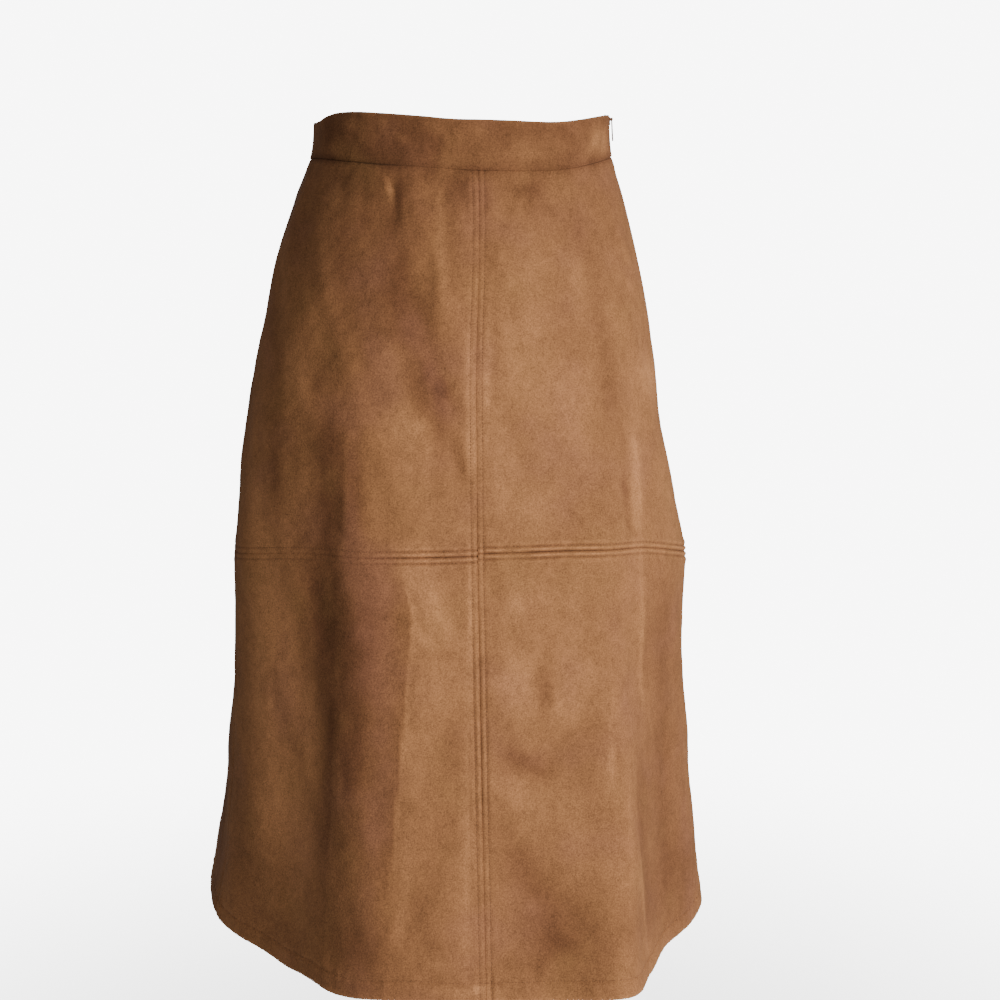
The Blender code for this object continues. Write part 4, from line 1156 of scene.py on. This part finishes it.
def thread_look(colours):
    """Twisted sewing thread in the colour of the cloth."""
    look = Look("thread", {"Roughness": 0.6, "Specular IOR Level": 0.35})
    twist = look.ribs("DIAGONAL", 900.0, 1.0)
    colour = look.blend(twist * 0.5 + 0.25, toned(colours.thread, 0.6), toned(colours.thread))
    look.plug("Base Color", colour)
    look.bump(twist, 0.0001, 0.5)
    return look.material


def tape_look(colours):
    """Woven herringbone tape."""
    look = Look("zip_tape_weave", {"Roughness": 0.8, "Specular IOR Level": 0.2})
    weave = look.ribs("Z", 420.0, 0.6) * 0.5 + look.ribs("Y", 300.0, 0.4) * 0.5
    look.plug("Base Color", look.blend(weave, toned(colours.tape, 0.55), toned(colours.tape)))
    look.bump(weave, 0.0002, 0.7)
    return look.material


def coil_look(colours):
    """Smooth nylon."""
    look = Look("zip_nylon", {"Roughness": 0.42, "Specular IOR Level": 0.45})
    patch = look.noise(220.0)
    look.plug("Base Color", look.blend(patch, toned(colours.tape, 0.7), toned(colours.tape, 1.25)))
    look.plug("Roughness", 0.36 + patch * 0.14)
    return look.material


def lacquer_look(colours):
    """Brown lacquer over cast metal, thin where it is rubbed."""
    look = Look("zip_lacquer", {"Metallic": 0.20, "Coat Weight": 0.25, "Coat Roughness": 0.25})
    speck = look.noise(1400.0, 3.0, 0.6)
    wear_and_highlight = look.ranged(look.noise(380.0, 3.0, 0.6), 0.56, 0.72)
    look.plug("Base Color", look.blend(wear_and_highlight * 0.5, toned(colours.metal), toned(colours.metal, 2.1)))
    look.plug("Roughness", 0.34 + speck * 0.18)
    look.bump(speck, 0.00005, 0.4)
    return look.material


def floor_look(colours, radius):
    """Plain pale floor that thins out towards its edge."""
    look = Look("floor_pale", {"Roughness": 0.9, "Specular IOR Level": 0.1})
    look.plug("Base Color", look.blend(look.noise(2.0), toned(colours.floor, 0.985), toned(colours.floor)))
    away = look.add("ShaderNodeVectorMath", {"operation": "LENGTH"}, {0: look.where}, output=1)
    look.plug("Alpha", 0.7 - look.ranged(away, radius * 0.1, radius * 0.98) * 0.7)
    return look.material


# ------------------------------------------------------------------ zip

TOOTH_PITCH = 0.0013
TOOTH_LENGTH = 0.0026
TOOTH_RADIUS = 0.00042
TOOTH_ASIDE = 0.0008
# Share of the tooth's length and of its radius at each ring.
TOOTH_RINGS = ((0.0, 0.0), (0.06, 0.8), (0.20, 1.0), (0.70, 0.85), (0.82, 1.25), (0.94, 0.9), (1.0, 0.0))
COIL_DEPTH = 0.0049
CORE_SECTIONS = 60
CORE_WIDTH = 0.0034
CORE_THICK = 0.0003


def coil_line(count):
    """Middle of the coil from top to bottom, with its directions across and out of the cloth."""
    low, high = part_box("zip_coil")
    drops = np.linspace(TOP - high.z, TOP - low.z, count)
    angle = np.full_like(drops, SIDE_SEAM)
    middle, normal = cloth_point(angle, drops), cloth_normal(angle, drops)
    across = unit(np.cross(unit(np.gradient(middle, axis=0)), normal))
    return middle - normal * COIL_DEPTH, across, normal


def coil_teeth():
    """Closed coil behind the tapes, as one row of loops from each side in turn."""
    low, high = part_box("zip_coil")
    count = int((high.z - low.z) / (TOOTH_PITCH / 2))
    side = np.where(np.arange(count) % 2 == 0, 1.0, -1.0)[:, None]
    middle, across, normal = coil_line(count)
    return small_tubes(middle + across * side * TOOTH_ASIDE, -across * side, normal, TOOTH_RINGS,
                       [0.0] * len(TOOTH_RINGS), TOOTH_LENGTH, TOOTH_RADIUS)


def coil_core():
    """Points and triangles of the flat cord inside the coil."""
    middle, across, normal = coil_line(CORE_SECTIONS)
    corners = ((-1, -1), (1, -1), (1, 1), (-1, 1))
    across, normal = across * (CORE_WIDTH / 2), normal * (CORE_THICK / 2)
    verts = np.stack([middle + across * a + normal * b for a, b in corners], axis=1).reshape(-1, 3)
    faces = [(0, 1, 2), (0, 2, 3)]
    for section in range(CORE_SECTIONS - 1):
        for corner in range(4):
            here, near = 4 * section + corner, 4 * section + (corner + 1) % 4
            faces += [(here, here + 4, near + 4), (here, near + 4, near)]
    end = 4 * (CORE_SECTIONS - 1)
    faces += [(end, end + 2, end + 1), (end, end + 3, end + 2)]
    return verts, np.array(faces)


# ------------------------------------------------------------------ settings

def a_length(name, default, description, precision=4):
    """A distance that a user may change."""
    return bpy.props.FloatProperty(name=name, description=description, default=default, precision=precision,
                                   unit="LENGTH", subtype="DISTANCE")


def a_share(name, default, most, description):
    """A share that a user may change."""
    return bpy.props.FloatProperty(name=name, description=description, default=default, min=0.0, max=most,
                                   subtype="FACTOR")


def a_power(name, default, description):
    """The power of a light."""
    return bpy.props.FloatProperty(name=name, description=description, default=default, subtype="POWER")


def a_colour(name, default, description):
    """A colour that a user may change."""
    return bpy.props.FloatVectorProperty(name=name, description=description, default=default, subtype="COLOR")


class SkirtSizes(bpy.types.PropertyGroup):
    """Sizes of the finish."""

    cloth: a_length("Cloth", 0.0015, "Thickness of one layer of cloth")
    band_cloth: a_length("Waistband", 0.0025, "Thickness of the doubled waistband")
    allowance: a_length("Seam allowance", 0.0100, "Width of the pressed seam allowances inside")
    stitch_margin: a_length("Stitch margin", 0.0055, "Distance of the stitches from their seam")
    hem_stitch: a_length("Hem stitch", 0.0150, "Height of the hem's stitches over its edge")
    stitch_pitch: a_length("Stitch pitch", 0.0032, "Distance from one stitch to the next")
    stitch_length: a_length("Stitch length", 0.0026, "Length of one stitch that shows")
    thread_radius: a_length("Thread radius", 0.00024, "Half the thickness of the thread", precision=5)
    crease_strength: a_share("Creases", 1.0, 2.0, "How deep the creases are")
    mesh_step: a_length("Mesh step", 0.0032, "Spacing of the points away from the seams")


class SkirtColours(bpy.types.PropertyGroup):
    """Colours of the finish."""

    # The suede tones are the stops of one ramp, which also carries the painted light and shade stored on the
    # cloth.
    suede_light: a_colour("Suede, light", (0.540, 0.245, 0.105), "Pile brushed towards the light")
    suede_mid: a_colour("Suede", (0.328, 0.1455, 0.0608), "Main colour of the pile")
    suede_deep: a_colour("Suede, deep", (0.168, 0.069, 0.030), "Pile brushed away from the light")
    suede_shade: a_colour("Suede, shade", (0.098, 0.039, 0.017), "Pile pressed flat in the deepest marks")
    suede_rosy: a_colour("Suede, rosy", (0.302, 0.127, 0.071), "Pinker patches of the pile")
    suede_gold: a_colour("Suede, golden", (0.355, 0.173, 0.063), "Yellower patches of the pile")
    # How strongly the stored nap marks and their painted light and shade show.
    nap_and_shade_strength: a_share("Nap", 0.50, 1.0, "How much the brushed marks show")
    backing: a_colour("Backing", (0.330, 0.172, 0.090), "Knitted reverse of the cloth")
    thread: a_colour("Thread", (0.290, 0.130, 0.056), "Sewing thread")
    tape: a_colour("Zip tape", (0.115, 0.055, 0.028), "Tapes and coil of the zip")
    metal: a_colour("Zip metal", (0.190, 0.086, 0.040), "Lacquer on the slider and tab")
    floor: a_colour("Floor", (0.90, 0.90, 0.895), "Studio floor")


class SkirtStage(bpy.types.PropertyGroup):
    """Floor, lights and camera."""

    floor_drop: a_length("Floor", 1.12, "Depth of the floor below the waist")
    floor_radius: a_length("Floor radius", 1.8, "Where the floor has faded out")
    camera_distance: a_length("Camera distance", 1.5, "From the skirt's axis to the camera")
    camera_azimuth: bpy.props.FloatProperty(
        name="Camera azimuth", description="Where the camera stands round the skirt",
        default=math.radians(-6.0), unit="ROTATION", subtype="ANGLE")
    camera_drop: a_length("Camera height", 0.1805, "Depth of the camera below the top edge")
    lens: bpy.props.FloatProperty(
        name="Lens", description="Focal length on a 36 mm sensor", default=54.0, unit="CAMERA")
    key_power: a_power("Key light", 122.0, "Power of the main light")
    fill_power: a_power("Fill light", 11.0, "Power of the front fill")
    back_power: a_power("Back light", 75.0, "Power of the high light behind")
    sky: bpy.props.FloatProperty(
        name="Room light", description="Strength of the even light of the room", default=0.20)
    sky_seen: bpy.props.FloatProperty(
        name="Room brightness", description="How bright the room looks", default=8.0)


# ------------------------------------------------------------------ stage

SENSOR = 36.0
# Parts of the picture's width: the horizon above the middle, and the skirt's axis left of it.
HORIZON_UP = 0.200
AXIS_LEFT = 0.041
FLOOR_CORNERS = 128
ROOM_TINT = (1.0, 0.985, 0.97, 1.0)
# Lights: name, place, height that it aims at on the skirt's axis, size, colour.
LIGHTS = (
    ("key", (2.15, -2.45, -0.25), -0.42, 0.9, (1.0, 0.98, 0.95)),
    ("fill", (-1.9, -2.9, 0.3), -0.4, 2.2, (1.0, 1.0, 1.0)),
    ("back", (0.35, 2.5, 1.35), -0.4, 1.2, (1.0, 1.0, 1.0)),
)


def looking(place, ahead):
    """Matrix of something that stands at a place and faces ahead."""
    return Matrix.Translation(place) @ ahead.to_track_quat("-Z", "Y").to_matrix().to_4x4()


def stage_light(name, place, aim, size, tint, watts):
    """A soft square light aimed at a point of the skirt's axis."""
    data = bpy.data.lights.new(name, "AREA")
    data.shape = "SQUARE"
    data.size = size
    data.energy = watts
    data.color = tint
    added(name, data).matrix_world = looking(place, Vector((0.0, 0.0, aim)) - Vector(place))


def floor_disc(height, radius, look):
    """A round floor that fades out into the room at its edge."""
    mesh = bpy.data.meshes.new("floor")
    work = bmesh.new()
    bmesh.ops.create_circle(work, cap_ends=True, segments=FLOOR_CORNERS, radius=radius)
    work.to_mesh(mesh)
    work.free()
    mesh.materials.append(look)
    made = added("floor", mesh)
    made.location.z = height
    return made


def room(strength, seen):
    """Even light from the room, which looks brighter than the light it gives."""
    world = bpy.data.worlds.new("room")
    world.use_nodes = True
    tree = world.node_tree
    looked_at = add_node(tree, "ShaderNodeLightPath", {}, {})
    gives, shows = (add_node(tree, "ShaderNodeBackground", {}, {"Color": tint, "Strength": power})
                    for tint, power in ((ROOM_TINT, strength), ((1.0, 1.0, 1.0, 1.0), seen)))
    mixed = add_node(tree, "ShaderNodeMixShader", {}, {0: looked_at, 1: gives, 2: shows})
    tree.links.new(mixed.socket, tree.nodes["World Output"].inputs["Surface"])
    return world


def camera(stage):
    """Camera that looks a little down, with the skirt's axis left of the middle."""
    data = bpy.data.cameras.new("camera")
    data.lens = stage.lens
    data.sensor_width = SENSOR
    turn = stage.camera_azimuth
    place = Vector((math.sin(turn), -math.cos(turn), 0.0)) * stage.camera_distance
    place.z = TOP - stage.camera_drop
    pitch = math.atan(HORIZON_UP * SENSOR / stage.lens)
    aside = math.atan(AXIS_LEFT * SENSOR / stage.lens * math.cos(pitch))
    yaw = math.atan2(-place.y, -place.x) - aside
    ahead = Vector((math.cos(yaw) * math.cos(pitch), math.sin(yaw) * math.cos(pitch), -math.sin(pitch)))
    made = added("camera", data)
    made.matrix_world = looking(place, ahead)
    return made


# ------------------------------------------------------------------ operators

class SKIRT_OT_waistband(bpy.types.Operator):
    """Make the two-part waistband"""

    bl_idname = "skirt.waistband"
    bl_label = "Waistband"

    def execute(self, context):
        spacing = context.scene.skirt_sizes.mesh_step * BAND_ROWS_CLOSER
        rows = spread(0.0, BAND_HEIGHT - SEWN_GAP / 2, BAND_STEPS, BAND_STEPS, spacing)
        for side, edges in (("front", (RIGHT_EDGE, LEFT_EDGE)), ("back", (LEFT_EDGE_BEHIND, RIGHT_EDGE))):
            made, flat, area = cut_piece("waistband_shell_" + side, "waistband_" + side, edges, rows,
                                         (TOP_RUN, WAIST_RUN), BAND_STEPS, context)
        return {"FINISHED"}


class SKIRT_OT_front(bpy.types.Operator):
    """Make the four front panels"""

    bl_idname = "skirt.front"
    bl_label = "Front panels"

    def execute(self, context):
        for half in ("upper", "lower"):
            hung_panel("front_%s_right" % half, (RIGHT_EDGE, centre_seam), half, context)
            hung_panel("front_%s_left" % half, (centre_seam, LEFT_EDGE), half, context)
        return {"FINISHED"}


class SKIRT_OT_back(bpy.types.Operator):
    """Make the two back panels"""

    bl_idname = "skirt.back"
    bl_label = "Back panels"

    def execute(self, context):
        for half in ("upper", "lower"):
            hung_panel("back_%s" % half, (LEFT_EDGE_BEHIND, RIGHT_EDGE), half, context)
        return {"FINISHED"}


class SKIRT_OT_stitches(bpy.types.Operator):
    """Sew the rows of stitches"""

    bl_idname = "skirt.stitches"
    bl_label = "Stitches"

    def execute(self, context):
        sizes = context.scene.skirt_sizes
        look = thread_look(context.scene.skirt_colours)
        for seam, lines in stitch_lines(sizes).items():
            made = joined("stitches_" + seam, [stitch_row(*line, sizes) for line in lines], look)
            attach(made, "skirt")
        return {"FINISHED"}


class SKIRT_OT_zip(bpy.types.Operator):
    """Finish the concealed zip"""

    bl_idname = "skirt.zip"
    bl_label = "Zip"

    def execute(self, context):
        colours = context.scene.skirt_colours
        coil = joined("zip_teeth", [coil_teeth(), coil_core()], coil_look(colours))
        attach(coil, "skirt")
        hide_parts("zip_coil")
        tape, lacquer = tape_look(colours), lacquer_look(colours)
        for node, look in (("zip_tape_front", tape), ("zip_tape_back", tape),
                           ("zip_slider", lacquer), ("zip_pull", lacquer)):
            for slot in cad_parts[node].material_slots:
                slot.material = look
        return {"FINISHED"}


class SKIRT_OT_stage(bpy.types.Operator):
    """Set the floor, lights and camera"""

    bl_idname = "skirt.stage"
    bl_label = "Stage"

    def execute(self, context):
        stage = context.scene.skirt_stage
        look = floor_look(context.scene.skirt_colours, stage.floor_radius)
        floor_disc(-stage.floor_drop, stage.floor_radius, look)
        for light, watts in zip(LIGHTS, (stage.key_power, stage.fill_power, stage.back_power)):
            stage_light(*light, watts)
        context.scene.world = room(stage.sky, stage.sky_seen)
        context.scene.camera = camera(stage)
        return {"FINISHED"}


class SKIRT_PT_panel(bpy.types.Panel):
    """Lists the pieces in the sidebar"""

    bl_label = "Faux suede skirt"
    bl_idname = "SKIRT_PT_panel"
    bl_space_type = "VIEW_3D"
    bl_region_type = "UI"
    bl_category = "Skirt"

    def draw(self, context):
        for name, _group in GROUPS:
            group, box = getattr(context.scene, name), self.layout.box()
            for setting in group.__annotations__:
                box.prop(group, setting)
        for operator in OPERATORS:
            self.layout.operator(operator.bl_idname)


OPERATORS = (SKIRT_OT_waistband, SKIRT_OT_front, SKIRT_OT_back, SKIRT_OT_stitches, SKIRT_OT_zip,
             SKIRT_OT_stage)
GROUPS = (("skirt_sizes", SkirtSizes), ("skirt_colours", SkirtColours), ("skirt_stage", SkirtStage))


def register():
    """Makes the settings, the operators and the panel known to Blender."""
    for name, group in GROUPS:
        bpy.utils.register_class(group)
        setattr(bpy.types.Scene, name, bpy.props.PointerProperty(type=group))
    for operator in (*OPERATORS, SKIRT_PT_panel):
        bpy.utils.register_class(operator)


def unregister():
    """Takes them away again."""
    for operator in (SKIRT_PT_panel, *reversed(OPERATORS)):
        bpy.utils.unregister_class(operator)
    for name, group in reversed(GROUPS):
        delattr(bpy.types.Scene, name)
        bpy.utils.unregister_class(group)


def main():
    """Builds every piece and the stage."""
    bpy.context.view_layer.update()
    register()
    bpy.ops.skirt.waistband()
    bpy.ops.skirt.front()
    bpy.ops.skirt.back()
    bpy.ops.skirt.stitches()
    bpy.ops.skirt.zip()
    bpy.ops.skirt.stage()


if __name__ == "__main__":
    main()
